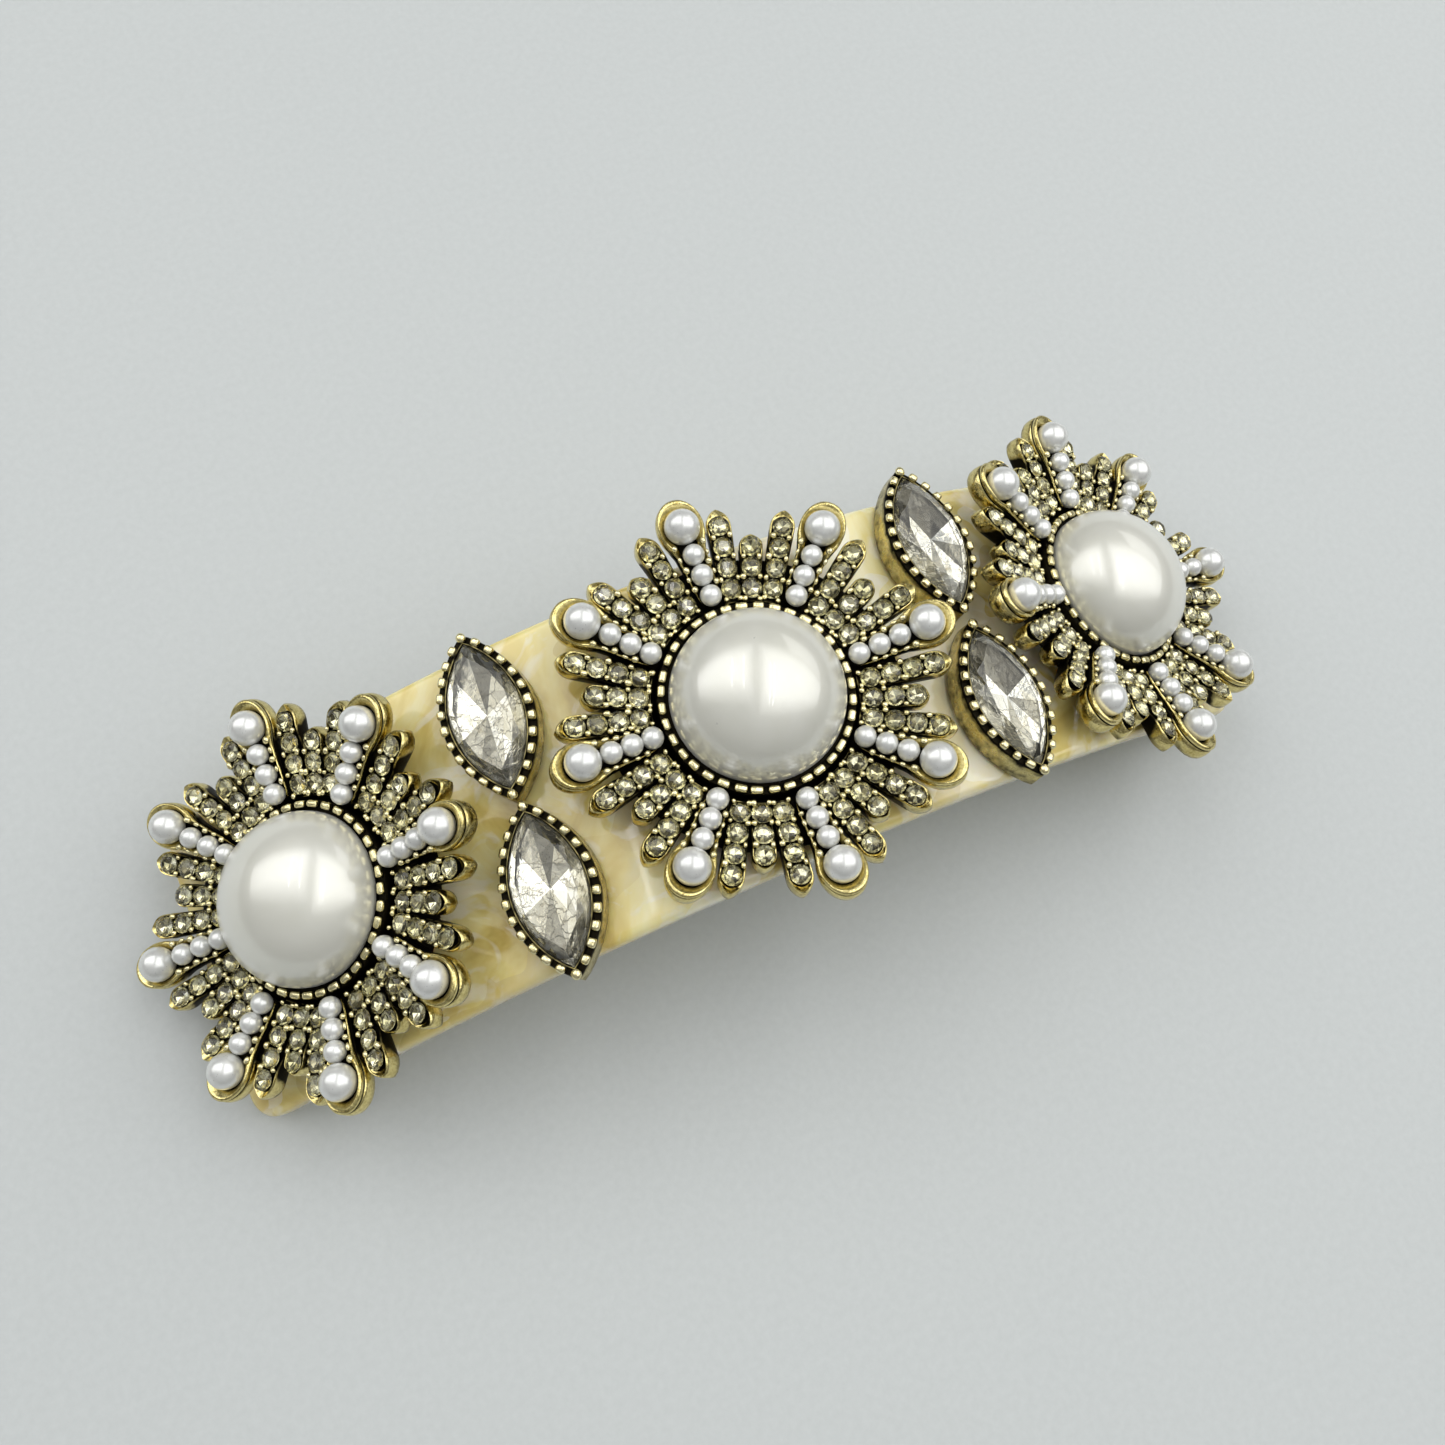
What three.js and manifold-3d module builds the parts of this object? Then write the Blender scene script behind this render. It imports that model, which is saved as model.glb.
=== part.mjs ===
// Embellished French barrette, in millimetres, +Z up, +X along the length.
// An arched acetate plate carries three sunburst flowers and four navette stones on top,
// and a spring clip with a hinged clasp arm underneath.
// The working frame while modelling has its origin at the crown of the plate's top face;
// the finished group is shifted so that the origin is the bottom centre of the whole object.
import * as THREE from "three";
import { mergeVertices } from "three/addons/utils/BufferGeometryUtils.js";
import Module from "manifold-3d";

const wasm = await Module();
wasm.setup();

// ---------------------------------------------------------------- driving dimensions
const DEG = Math.PI / 180;

// acetate plate
const R_TOP = 75.93; // radius of the arched top face
const PLATE_T = 2.8; // thickness
const PLATE_HALF_W = 13.8; // half the width across
const PLATE_HALF_S = 55.2; // half the length, measured along the top face
const PLATE_CORNER_R = 2.8; // rounded corners in plan
const PLATE_EDGE_R = 0.5; // eased long edges
const REST_FLAT = 0.3; // depth of the small flats ground on the two ends it stands on
const R_UNDER = R_TOP - PLATE_T;

// flowers: place along the arc, place across, turn of the first pearl ray, small roll and pitch
const FLOWERS = [
  { name: "left", s: -39.54, y: 0.37, turn: 86.04, roll: -2.625, pitch: -2.191 },
  { name: "center", s: 0, y: -0.29, turn: 90.72, roll: 1.811, pitch: -0.992 },
  { name: "right", s: 38.26, y: -0.06, turn: 90.16, roll: 2.497, pitch: -0.362 },
];
const RAY_PITCH = 45; // between pearl rays
const LONG_OFF = 12.0; // long stone ray, from its pearl ray
const SHORT_OFF = 22.5; // short stone ray

// flower casting
const BOSS_R = 6.0;
const BOSS_H = 0.45; // underside of the boss above the plate's crown
const HUB_BOTTOM = 0.8;
const HUB_R = 10.6;
const COLLAR_R0 = 7.45;
const COLLAR_R1 = 8.12;
const COLLAR_TOP = 3.05;
const SEAT_H = 2.25; // floor that the dome is glued to
const GROOVE_R0 = 8.35;
const GROOVE_R1 = 10.15;
const GROOVE_H = 1.22; // floor of the stone channel
const RIM_H = 1.9;
const STONE_SLOPE = 10.4; // rise of the stone rays, degrees
const STONE_R0 = 9.6;
const STONE_H0 = 2.35; // girdle height at STONE_R0
const STONE_TIP_LONG = 16.4;
const STONE_TIP_SHORT = 14.15;
const STONE_END_LONG = 15.5; // outer end of the last stone
const STONE_END_SHORT = 13.65;
const RAY_HALF_W = 0.98;
const PEARL_SLOPE = 11.95; // rise of the pearl rays
const PEARL_R0 = 9.245;
const PEARL_H0 = 3.08; // centre height of the innermost pearl
const PEARL_STEPS = [0, 1.8, 3.62, 6.08]; // pearl centres along the ray
const PEARL_SMALL_R = 0.915;
const PEARL_BIG_R = 1.5;
const CUP_TIP = 17.7;

// pearl dome
const DOME_R = 7.2;
const DOME_BASE = 2.42;
const DOME_BELT = 3.0;
const DOME_TOP = 8.9;

// navettes: place along the arc, place across, direction of the long axis from +X
const NAVETTES = [
  { name: "upper_left", s: -19.95, y: 7.1, dir: 86.2 },
  { name: "lower_left", s: -20.55, y: -7.97, dir: 85.5 },
  { name: "upper_right", s: 20.38, y: 7.9, dir: 87.1 },
  { name: "lower_right", s: 19.86, y: -7.6, dir: 88.2 },
];
const SETTING_A = 7.4; // half length
const SETTING_B = 4.0; // half width
const SETTING_BASE = 0.35;
const SETTING_TOP = 3.25;
const CRYSTAL_A = 6.3;
const CRYSTAL_B = 3.0;
const CRYSTAL_BACK = 1.35;
const CRYSTAL_GIRDLE = 2.75;
const CRYSTAL_TOP = 3.95;
const POCKET_FLOOR = 1.05;

// clip, under the plate
const STRIP_GAP = 0.3;
const STRIP_T = 0.8;
const STRIP_HALF_W = 4;
const STRIP_END = 31.5; // half angle of the strip about the plate's centre
const PIN_ANGLE = -30;
const PIN_DROP = 2.2; // pin axis under the strip
const PIN_R = 0.55;
const EYE_R = 0.85;
const KNUCKLE_R = 1.35;
const ARM_TOP = -12.8;
const ARM_R = 180.8;
const ARM_T = 0.9;
const ARM_HALF_W = 2.5;
const ARM_END = 41.2;
const EYELET = { x0: 34.9, x1: 38.7, half: 2.3 };
const PRONG = { x0: 35.6, x1: 38.0, top: -15.15, bottom: -20.1, y0: 1.42, y1: 1.9 };
const BOW_TOP = -6.6;
const BOW_R = 90.9;
const BOW_T = 0.4;
const BOW_HALF_W = 2.5;
const BOW_HALF_X = 32.6;
const RIVET_ANGLE = 24;

// ---------------------------------------------------------------- helpers
function solid(geometry) {
  const g = geometry.index ? geometry.toNonIndexed() : geometry.clone();
  g.deleteAttribute("normal");
  g.deleteAttribute("uv");
  const m = mergeVertices(g, 1e-4);
  const src = m.index.array;
  const tri = [];
  for (let i = 0; i < src.length; i += 3) {
    if (src[i] !== src[i + 1] && src[i + 1] !== src[i + 2] && src[i] !== src[i + 2])
      tri.push(src[i], src[i + 1], src[i + 2]);
  }
  return new wasm.Manifold(
    new wasm.Mesh({
      numProp: 3,
      vertProperties: m.attributes.position.array,
      triVerts: new Uint32Array(tri),
    }),
  );
}

function geometryOf(manifold) {
  const m = manifold.getMesh();
  const pos = new Float32Array(m.numVert * 3);
  for (let i = 0; i < m.numVert; i++)
    for (let k = 0; k < 3; k++) pos[3 * i + k] = m.vertProperties[m.numProp * i + k];
  const g = new THREE.BufferGeometry();
  g.setAttribute("position", new THREE.BufferAttribute(pos, 3));
  g.setIndex(new THREE.BufferAttribute(new Uint32Array(m.triVerts), 1));
  const flat = g.toNonIndexed();
  flat.computeVertexNormals();
  return flat;
}

function union(list) {
  return list.slice(1).reduce((a, b) => a.add(b), list[0]);
}

// A prism over a closed plan outline, from z0 to z1.
function prism(outline, z0, z1) {
  const shape = new THREE.Shape(outline.map(([x, y]) => new THREE.Vector2(x, y)));
  const g = new THREE.ExtrudeGeometry(shape, { depth: z1 - z0, bevelEnabled: false });
  return g.translate(0, 0, z0);
}

// A prism over a side outline of (x, z) points, from y0 to y1.
function sidePrism(outline, y0, y1, bevel = 0) {
  const shape = new THREE.Shape(outline.map(([x, z]) => new THREE.Vector2(x, z)));
  const g = new THREE.ExtrudeGeometry(shape, {
    depth: y1 - y0 - 2 * bevel,
    bevelEnabled: bevel > 0,
    bevelThickness: bevel,
    bevelSize: bevel,
    bevelOffset: -bevel,
    bevelSegments: 1,
  });
  g.rotateX(Math.PI / 2);
  return g.translate(0, y1 - bevel, 0);
}

// A turned body about Z from (radius, height) points that start and end on the axis or close on themselves.
function turned(profile, segments) {
  const g = new THREE.LatheGeometry(
    profile.map(([r, z]) => new THREE.Vector2(r, z)),
    segments,
  );
  return g.rotateX(Math.PI / 2);
}

function cylinder(radius, z0, z1, segments) {
  const g = new THREE.CylinderGeometry(radius, radius, z1 - z0, segments);
  g.rotateX(Math.PI / 2);
  return g.translate(0, 0, (z0 + z1) / 2);
}

// A cylinder along Y at (x, z).
function crossPin(radius, x, z, y0, y1, segments) {
  const g = new THREE.CylinderGeometry(radius, radius, y1 - y0, segments);
  return g.translate(x, (y0 + y1) / 2, z);
}

const polar = (r, deg) => [r * Math.sin(deg * DEG), r * Math.cos(deg * DEG) - R_TOP];

// Outline in (x, z) of a curved strip between two radii about (cx, cz).
function arcBand(cz, r0, r1, a0, a1, steps) {
  const pts = [];
  for (let i = 0; i <= steps; i++) {
    const a = a0 + ((a1 - a0) * i) / steps;
    pts.push([r1 * Math.sin(a), cz + r1 * Math.cos(a)]);
  }
  for (let i = steps; i >= 0; i--) {
    const a = a0 + ((a1 - a0) * i) / steps;
    pts.push([r0 * Math.sin(a), cz + r0 * Math.cos(a)]);
  }
  return pts;
}

// Frame on the plate's top face: origin, tangent, across, normal.
function seatGroup(s, y, roll = 0, pitch = 0, turn = 0) {
  const a = s / R_TOP;
  const tangent = new THREE.Vector3(Math.cos(a), 0, -Math.sin(a));
  const across = new THREE.Vector3(0, 1, 0);
  const normal = new THREE.Vector3(Math.sin(a), 0, Math.cos(a));
  const origin = new THREE.Vector3(R_TOP * Math.sin(a), y, R_TOP * (Math.cos(a) - 1));
  const q1 = new THREE.Quaternion().setFromAxisAngle(tangent, roll * DEG);
  [tangent, across, normal].forEach((v) => v.applyQuaternion(q1));
  const q2 = new THREE.Quaternion().setFromAxisAngle(across.clone(), pitch * DEG);
  [tangent, across, normal].forEach((v) => v.applyQuaternion(q2));
  const q3 = new THREE.Quaternion().setFromAxisAngle(normal.clone(), turn * DEG);
  [tangent, across].forEach((v) => v.applyQuaternion(q3));
  const group = new THREE.Group();
  group.quaternion.setFromRotationMatrix(
    new THREE.Matrix4().makeBasis(tangent, across, normal),
  );
  group.position.copy(origin);
  return group;
}

function mesh(name, geometry, material) {
  const m = new THREE.Mesh(geometry, material());
  m.name = name;
  return m;
}

const standard = (color, roughness, metalness) => () =>
  new THREE.MeshStandardMaterial({ color, roughness, metalness });
const ACETATE = standard(0xeadfb8, 0.2, 0.0);
const OLD_GOLD = standard(0x9a8446, 0.35, 1.0);
const PEARL = standard(0xf0ece6, 0.22, 0.05);
const SMALL_PEARL = standard(0xf4f2f2, 0.25, 0.05);
const SMOKY_STONE = standard(0x8f8a62, 0.08, 0.2);
const CLEAR_STONE = standard(0xe4e6e4, 0.04, 0.1);
const CLIP_METAL = standard(0xb9b4a6, 0.32, 1.0);
const SPRING_METAL = standard(0xc6c6c4, 0.28, 1.0);

const barrette = new THREE.Group();

// ---------------------------------------------------------------- acetate plate
const plateHalf = PLATE_HALF_S / R_TOP;
const rivetPlaces = [-RIVET_ANGLE, RIVET_ANGLE];

// Puts a geometry built about Z at the plate's centre of curvature, turned to an angle along the arc.
function radial(geometry, deg) {
  return geometry.rotateY(deg * DEG).translate(0, 0, -R_TOP);
}

{
  let plate = solid(
    sidePrism(
      arcBand(-R_TOP, R_UNDER, R_TOP, -plateHalf, plateHalf, 26),
      -PLATE_HALF_W,
      PLATE_HALF_W,
      PLATE_EDGE_R,
    ),
  );
  // corner cutters: a square with a quarter round taken out, run through the thickness at each corner
  const c = PLATE_CORNER_R;
  const corner = [[c + 1, c + 1], [-0.01, c + 1], [-0.01, c]];
  for (let i = 1; i <= 5; i++) {
    const a = (i * Math.PI) / 12;
    corner.push([c * Math.sin(a), c * Math.cos(a)]);
  }
  corner.push([c, -0.01], [c + 1, -0.01]);
  for (const sx of [-1, 1]) {
    for (const sy of [-1, 1]) {
      let pts = corner.map(([x, y]) => [
        sx * (x - c),
        sy * (PLATE_HALF_W - c + y),
      ]);
      if (sx * sy > 0) pts = pts.reverse();
      const g = prism(pts, R_UNDER - 3, R_TOP + 3);
      plate = plate.subtract(solid(radial(g, (sx * plateHalf) / DEG)));
    }
  }
  // blind holes for the clip's rivets
  for (const a of rivetPlaces)
    plate = plate.subtract(solid(radial(cylinder(1.05, R_UNDER - 2, R_UNDER + 1.6, 8), a)));
  // rest flats
  const lowest = polar(R_UNDER, plateHalf / DEG)[1];
  plate = plate.subtract(
    solid(
      new THREE.BoxGeometry(140, 60, 10).translate(0, 0, lowest + REST_FLAT - 5),
    ),
  );
  barrette.add(mesh("acetate_plate", geometryOf(plate), ACETATE));
}

// ---------------------------------------------------------------- flowers
// Frame of a ray: x runs outward and rises by the slope, z is normal to it, zero on the centre line of what it carries.
function rayPlace(geometry, r0, h0, slope, turn) {
  return geometry
    .rotateY(-slope * DEG)
    .translate(r0, 0, h0)
    .rotateZ(turn * DEG);
}

function stoneRayOutline(tip, half) {
  const x0 = GROOVE_R1 + 0.1 - STONE_R0;
  const e = tip - STONE_R0;
  return [
    [x0, -0.84],
    [e - 0.95, -half],
    [e, 0],
    [e - 0.95, half],
    [x0, 0.84],
  ];
}

function castingSolid() {
  const hub = solid(
    turned(
      [
        [0, BOSS_H],
        [BOSS_R, BOSS_H],
        [BOSS_R + 0.5, HUB_BOTTOM],
        [HUB_R, HUB_BOTTOM + 0.1],
        [HUB_R, RIM_H],
        [GROOVE_R1, RIM_H],
        [GROOVE_R1, GROOVE_H],
        [GROOVE_R0, GROOVE_H],
        [COLLAR_R1, GROOVE_H + 0.6],
        [COLLAR_R1, COLLAR_TOP],
        [COLLAR_R0, COLLAR_TOP],
        [COLLAR_R0, SEAT_H],
        [0, SEAT_H],
      ],
      24,
    ),
  );
  const parts = [hub];
  for (let k = 0; k < 8; k++) {
    const a = k * RAY_PITCH;
    for (const [off, tip] of [
      [LONG_OFF, STONE_TIP_LONG],
      [SHORT_OFF, STONE_TIP_SHORT],
      [RAY_PITCH - LONG_OFF, STONE_TIP_LONG],
    ]) {
      const ray = prism(stoneRayOutline(tip, RAY_HALF_W), -1.75, -0.42);
      parts.push(solid(rayPlace(ray, STONE_R0, STONE_H0, STONE_SLOPE, a + off)));
    }
    // pearl ray: a long cup with a round end, hollowed for its row of pearls
    const x = (r) => r - PEARL_R0;
    const half = [
      [x(10.25), 1.1],
      [x(13.2), 1.34],
      [x(14.6), 1.88],
      [x(16.3), 1.92],
      [x(CUP_TIP), 0.75],
    ];
    const outline = [
      ...half.map(([u, v]) => [u, -v]),
      ...half.reverse().map(([u, v]) => [u, v]),
    ];
    const cup = solid(prism(outline, -2.45, -0.25));
    const hollow = [
      [x(9.4), -0.96],
      [x(13.2), -0.96],
      [x(14.4), -1.54],
      [x(16.1), -1.54],
      [x(16.9), -0.6],
      [x(16.9), 0.6],
      [x(16.1), 1.54],
      [x(14.4), 1.54],
      [x(13.2), 0.96],
      [x(9.4), 0.96],
    ];
    const ray = cup.subtract(solid(prism(hollow, -1.62, 1)));
    const g = rayPlace(geometryOf(ray), PEARL_R0, PEARL_H0, PEARL_SLOPE, a);
    parts.push(solid(g));
  }
  return union(parts);
}

function pearlRowGeometry() {
  const s = PEARL_SMALL_R;
  const b = PEARL_BIG_R;
  const pts = [];
  PEARL_STEPS.forEach((c, i) => {
    if (i < 3) {
      if (i === 0) pts.push([0, c - s]);
      pts.push([s, c]);
      pts.push([0.3, c + (i < 2 ? 0.9 : 0.96)]);
    } else {
      pts.push([0.72 * b, c - 0.7 * b], [b, c], [0.72 * b, c + 0.7 * b], [0, c + b]);
    }
  });
  const g = new THREE.LatheGeometry(
    pts.map(([r, y]) => new THREE.Vector2(r, y)),
    6,
  );
  return g.rotateZ(-Math.PI / 2);
}

// The stones of one flower, joined by the thin web in the channel round the collar.
function paveSolid() {
  const web = solid(
    turned(
      [
        [8.6, GROOVE_H + 0.22],
        [9.95, GROOVE_H + 0.22],
        [9.95, 2.0],
        [8.6, 2.0],
        [8.6, GROOVE_H + 0.22],
      ],
      24,
    ),
  );
  const parts = [web];
  for (let k = 0; k < 8; k++) {
    for (const [off, tip] of [
      [LONG_OFF, STONE_END_LONG],
      [SHORT_OFF, STONE_END_SHORT],
      [RAY_PITCH - LONG_OFF, STONE_END_LONG],
    ]) {
      const e = tip - STONE_R0; // the last stone's outer edge
      const half = 0.82;
      const outline = [
        [-0.85, -half],
        [e, -half],
        [e, half],
        [-0.85, half],
      ];
      const finger = prism(outline, -0.24, 0.42);
      parts.push(
        solid(rayPlace(finger, STONE_R0, STONE_H0, STONE_SLOPE, k * RAY_PITCH + off)),
      );
    }
  }
  return union(parts);
}

const castingGeometry = geometryOf(castingSolid());
const paveGeometry = geometryOf(paveSolid());
const rowGeometry = pearlRowGeometry();

const domeProfile = [
  [0, DOME_BASE],
  [DOME_R, DOME_BASE],
];
for (let i = 0; i <= 4; i++) {
  const a = (i * Math.PI) / 10;
  domeProfile.push([
    DOME_R * Math.cos(a),
    DOME_BELT + (DOME_TOP - DOME_BELT) * Math.sin(a),
  ]);
}
domeProfile.push([0, DOME_TOP]);
const domeGeometry = geometryOf(solid(turned(domeProfile, 24)));

for (const f of FLOWERS) {
  const flower = seatGroup(f.s, f.y, f.roll, f.pitch, f.turn);
  flower.add(mesh("flower_casting_" + f.name, castingGeometry.clone(), OLD_GOLD));
  flower.add(mesh("pearl_dome_" + f.name, domeGeometry.clone(), PEARL));
  flower.add(mesh("pave_stones_" + f.name, paveGeometry.clone(), SMOKY_STONE));
  for (let k = 0; k < 8; k++) {
    const g = rayPlace(rowGeometry.clone(), PEARL_R0, PEARL_H0, PEARL_SLOPE, k * RAY_PITCH);
    flower.add(mesh(`pearl_row_${f.name}_${k + 1}`, g, SMALL_PEARL));
  }
  barrette.add(flower);
}

// ---------------------------------------------------------------- navettes
// Pointed oval made of two equal arcs, counter-clockwise.
function navetteOutline(a, b, steps) {
  const rho = (a * a + b * b) / (2 * b);
  const top = Math.asin(a / rho);
  const pts = [];
  for (const side of [1, -1])
    for (let i = 0; i < steps; i++) {
      const t = top - (2 * top * i) / steps;
      pts.push([side * rho * Math.sin(t), side * (rho * Math.cos(t) - (rho - b))]);
    }
  return pts;
}

{
  const setting = solid(
    prism(navetteOutline(SETTING_A, SETTING_B, 7), SETTING_BASE, SETTING_TOP),
  ).subtract(
    solid(
      prism(navetteOutline(CRYSTAL_A + 0.25, CRYSTAL_B + 0.22, 7), POCKET_FLOOR, SETTING_TOP + 1),
    ),
  );
  const settingGeometry = geometryOf(setting);
  // Crystal: girdle band, stepped crown that rises to a small table, and a flat foil back.
  const levels = [
    [CRYSTAL_BACK, 0.62],
    [CRYSTAL_GIRDLE - 0.15, 1.0],
    [CRYSTAL_GIRDLE, 1.0],
    [CRYSTAL_TOP, 0.42],
  ];
  const n = 10;
  const ring = navetteOutline(CRYSTAL_A, CRYSTAL_B, n / 2);
  const pos = [];
  const at = (l, i) => {
    const [x, y] = ring[i % n];
    return [x * levels[l][1], y * levels[l][1], levels[l][0]];
  };
  for (let l = 0; l < levels.length - 1; l++)
    for (let i = 0; i < n; i++) {
      pos.push(...at(l, i), ...at(l, i + 1), ...at(l + 1, i + 1));
      pos.push(...at(l, i), ...at(l + 1, i + 1), ...at(l + 1, i));
    }
  for (let i = 1; i < n - 1; i++) {
    pos.push(...at(levels.length - 1, 0), ...at(levels.length - 1, i), ...at(levels.length - 1, i + 1));
    pos.push(...at(0, 0), ...at(0, i + 1), ...at(0, i));
  }
  const crystalGeometry = new THREE.BufferGeometry();
  crystalGeometry.setAttribute("position", new THREE.Float32BufferAttribute(pos, 3));
  crystalGeometry.computeVertexNormals();

  for (const v of NAVETTES) {
    const seat = seatGroup(v.s, v.y, 0, 0, v.dir);
    seat.add(mesh("navette_setting_" + v.name, settingGeometry.clone(), OLD_GOLD));
    seat.add(mesh("navette_crystal_" + v.name, crystalGeometry.clone(), CLEAR_STONE));
    barrette.add(seat);
  }
}

// ---------------------------------------------------------------- clip
const stripTop = R_UNDER - STRIP_GAP;
const stripUnder = stripTop - STRIP_T;
const [pinX, pinZ] = polar(stripUnder - PIN_DROP, PIN_ANGLE);

{
  // base strip with two ears for the hinge pin
  let strip = solid(
    sidePrism(
      arcBand(-R_TOP, stripUnder, stripTop, -STRIP_END * DEG, STRIP_END * DEG, 16),
      -STRIP_HALF_W,
      STRIP_HALF_W,
    ),
  );
  const t = [Math.cos(PIN_ANGLE * DEG), -Math.sin(PIN_ANGLE * DEG)];
  const nrm = [Math.sin(PIN_ANGLE * DEG), Math.cos(PIN_ANGLE * DEG)];
  const earPoint = (u, v) => [pinX + u * t[0] + v * nrm[0], pinZ + u * t[1] + v * nrm[1]];
  const ear = [];
  for (let i = 0; i <= 4; i++) {
    const a = Math.PI + (i * Math.PI) / 4;
    ear.push(earPoint(1.35 * Math.cos(a), 1.35 * Math.sin(a)));
  }
  ear.push(earPoint(1.35, PIN_DROP + 0.4), earPoint(-1.35, PIN_DROP + 0.4));
  for (const y of [-STRIP_HALF_W, STRIP_HALF_W - 0.8])
    strip = strip.add(solid(sidePrism(ear, y, y + 0.8)));
  strip = strip.subtract(solid(crossPin(EYE_R, pinX, pinZ, -6, 6, 10)));
  for (const a of rivetPlaces)
    strip = strip.subtract(solid(radial(cylinder(1.05, stripUnder - 2, stripTop + 2, 8), a)));
  barrette.add(mesh("clip_base_strip", geometryOf(strip), CLIP_METAL));
}

// rivets: a low head under the strip and a shank into the plate's blind hole
rivetPlaces.forEach((a, i) => {
  const head = stripUnder - 0.25;
  const g = turned(
    [
      [0, head - 0.5],
      [1.2, head - 0.5],
      [1.6, head - 0.2],
      [1.6, head],
      [0.75, head],
      [0.75, R_UNDER + 1.35],
      [0, R_UNDER + 1.35],
    ],
    8,
  );
  barrette.add(mesh(i ? "clip_rivet_right" : "clip_rivet_left", geometryOf(solid(radial(g, a))), CLIP_METAL));
});

barrette.add(
  mesh("clip_hinge_pin", crossPin(PIN_R, pinX, pinZ, -4.5, 4.5, 10), CLIP_METAL),
);

{
  // clasp arm: knuckle at the hinge, slim curved bar, wide slotted end with a thumb tab
  const cz = ARM_TOP - ARM_R;
  const at = (x) => Math.asin(x / ARM_R);
  let arm = solid(
    sidePrism(
      arcBand(cz, ARM_R - ARM_T, ARM_R, at(pinX - 0.4), at(ARM_END), 16),
      -ARM_HALF_W,
      ARM_HALF_W,
    ),
  );
  arm = arm.add(
    solid(
      sidePrism(
        arcBand(cz, ARM_R - ARM_T, ARM_R, at(33.4), at(40.2), 2),
        -STRIP_HALF_W,
        STRIP_HALF_W,
      ),
    ),
  );
  arm = arm.add(solid(crossPin(KNUCKLE_R, pinX, pinZ, -2.85, 2.85, 12)));
  arm = arm.subtract(solid(crossPin(EYE_R, pinX, pinZ, -4, 4, 12)));
  const e = EYELET;
  arm = arm.subtract(
    solid(
      new THREE.BoxGeometry(e.x1 - e.x0, 2 * e.half, 8).translate((e.x0 + e.x1) / 2, 0, -17),
    ),
  );
  barrette.add(mesh("clip_clasp_arm", geometryOf(arm), CLIP_METAL));
}

{
  // tension bow: thin spring strip, flatter than the base strip, with turned-up ends that bear on it
  const cz = BOW_TOP - BOW_R;
  const a = Math.asin(BOW_HALF_X / BOW_R);
  let bow = solid(
    sidePrism(arcBand(cz, BOW_R - BOW_T, BOW_R, -a, a, 14), -BOW_HALF_W, BOW_HALF_W),
  );
  const tipTop = cz + Math.sqrt(BOW_R ** 2 - BOW_HALF_X ** 2);
  for (const sx of [-1, 1]) {
    const x0 = BOW_HALF_X - 0.9;
    const pts = [
      [sx * x0, tipTop - 0.1],
      [sx * (BOW_HALF_X - 0.02), tipTop - 0.1],
      [sx * (BOW_HALF_X - 0.02), tipTop + 0.35],
      [sx * x0, tipTop + 0.75],
    ];
    if (sx < 0) pts.reverse();
    bow = bow.add(solid(sidePrism(pts, -1.6, 1.6)));
  }
  barrette.add(mesh("clip_tension_bow", geometryOf(bow), SPRING_METAL));
}

// catch bracket: a leaf under the strip's free end, between the two prongs
barrette.add(
  mesh(
    "clip_catch_bracket",
    geometryOf(
      solid(
        sidePrism(
          arcBand(-R_TOP, stripUnder - 0.95, stripUnder - 0.3, 27.6 * DEG, 31.4 * DEG, 3),
          -1.1,
          1.1,
        ),
      ),
    ),
    CLIP_METAL,
  ),
);

{
  // catch prongs: spring tabs that pass down through the arm's slot, each with a small outward nib under the arm
  const p = PRONG;
  for (const [name, sy] of [
    ["clip_prong_front", -1],
    ["clip_prong_back", 1],
  ]) {
    const side = (y0, y1) => (sy > 0 ? [y0, y1] : [-y1, -y0]);
    let prong = solid(
      sidePrism(
        [
          [p.x0, p.bottom + 0.5],
          [p.x0 + 0.5, p.bottom],
          [p.x1 - 0.5, p.bottom],
          [p.x1, p.bottom + 0.5],
          [p.x1, p.top],
          [p.x0, p.top],
        ],
        ...side(p.y0, p.y1),
      ),
    );
    prong = prong.add(
      solid(
        sidePrism(
          [
            [p.x0 + 0.3, -18.75],
            [p.x1 - 0.3, -18.75],
            [p.x1 - 0.3, -18.3],
            [p.x0 + 0.3, -18.3],
          ],
          ...side(p.y0 + 0.1, p.y1 + 0.28),
        ),
      ),
    );
    barrette.add(mesh(name, geometryOf(prong), SPRING_METAL));
  }
}

// ---------------------------------------------------------------- origin at the bottom centre
barrette.updateMatrixWorld(true);
const whole = new THREE.Box3().setFromObject(barrette, true);
barrette.position.set(
  -(whole.min.x + whole.max.x) / 2,
  -(whole.min.y + whole.max.y) / 2,
  -whole.min.z,
);

export default barrette;
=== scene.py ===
import math
import random

import bmesh
import bpy
import numpy as np
from mathutils import Matrix, Vector


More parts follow.
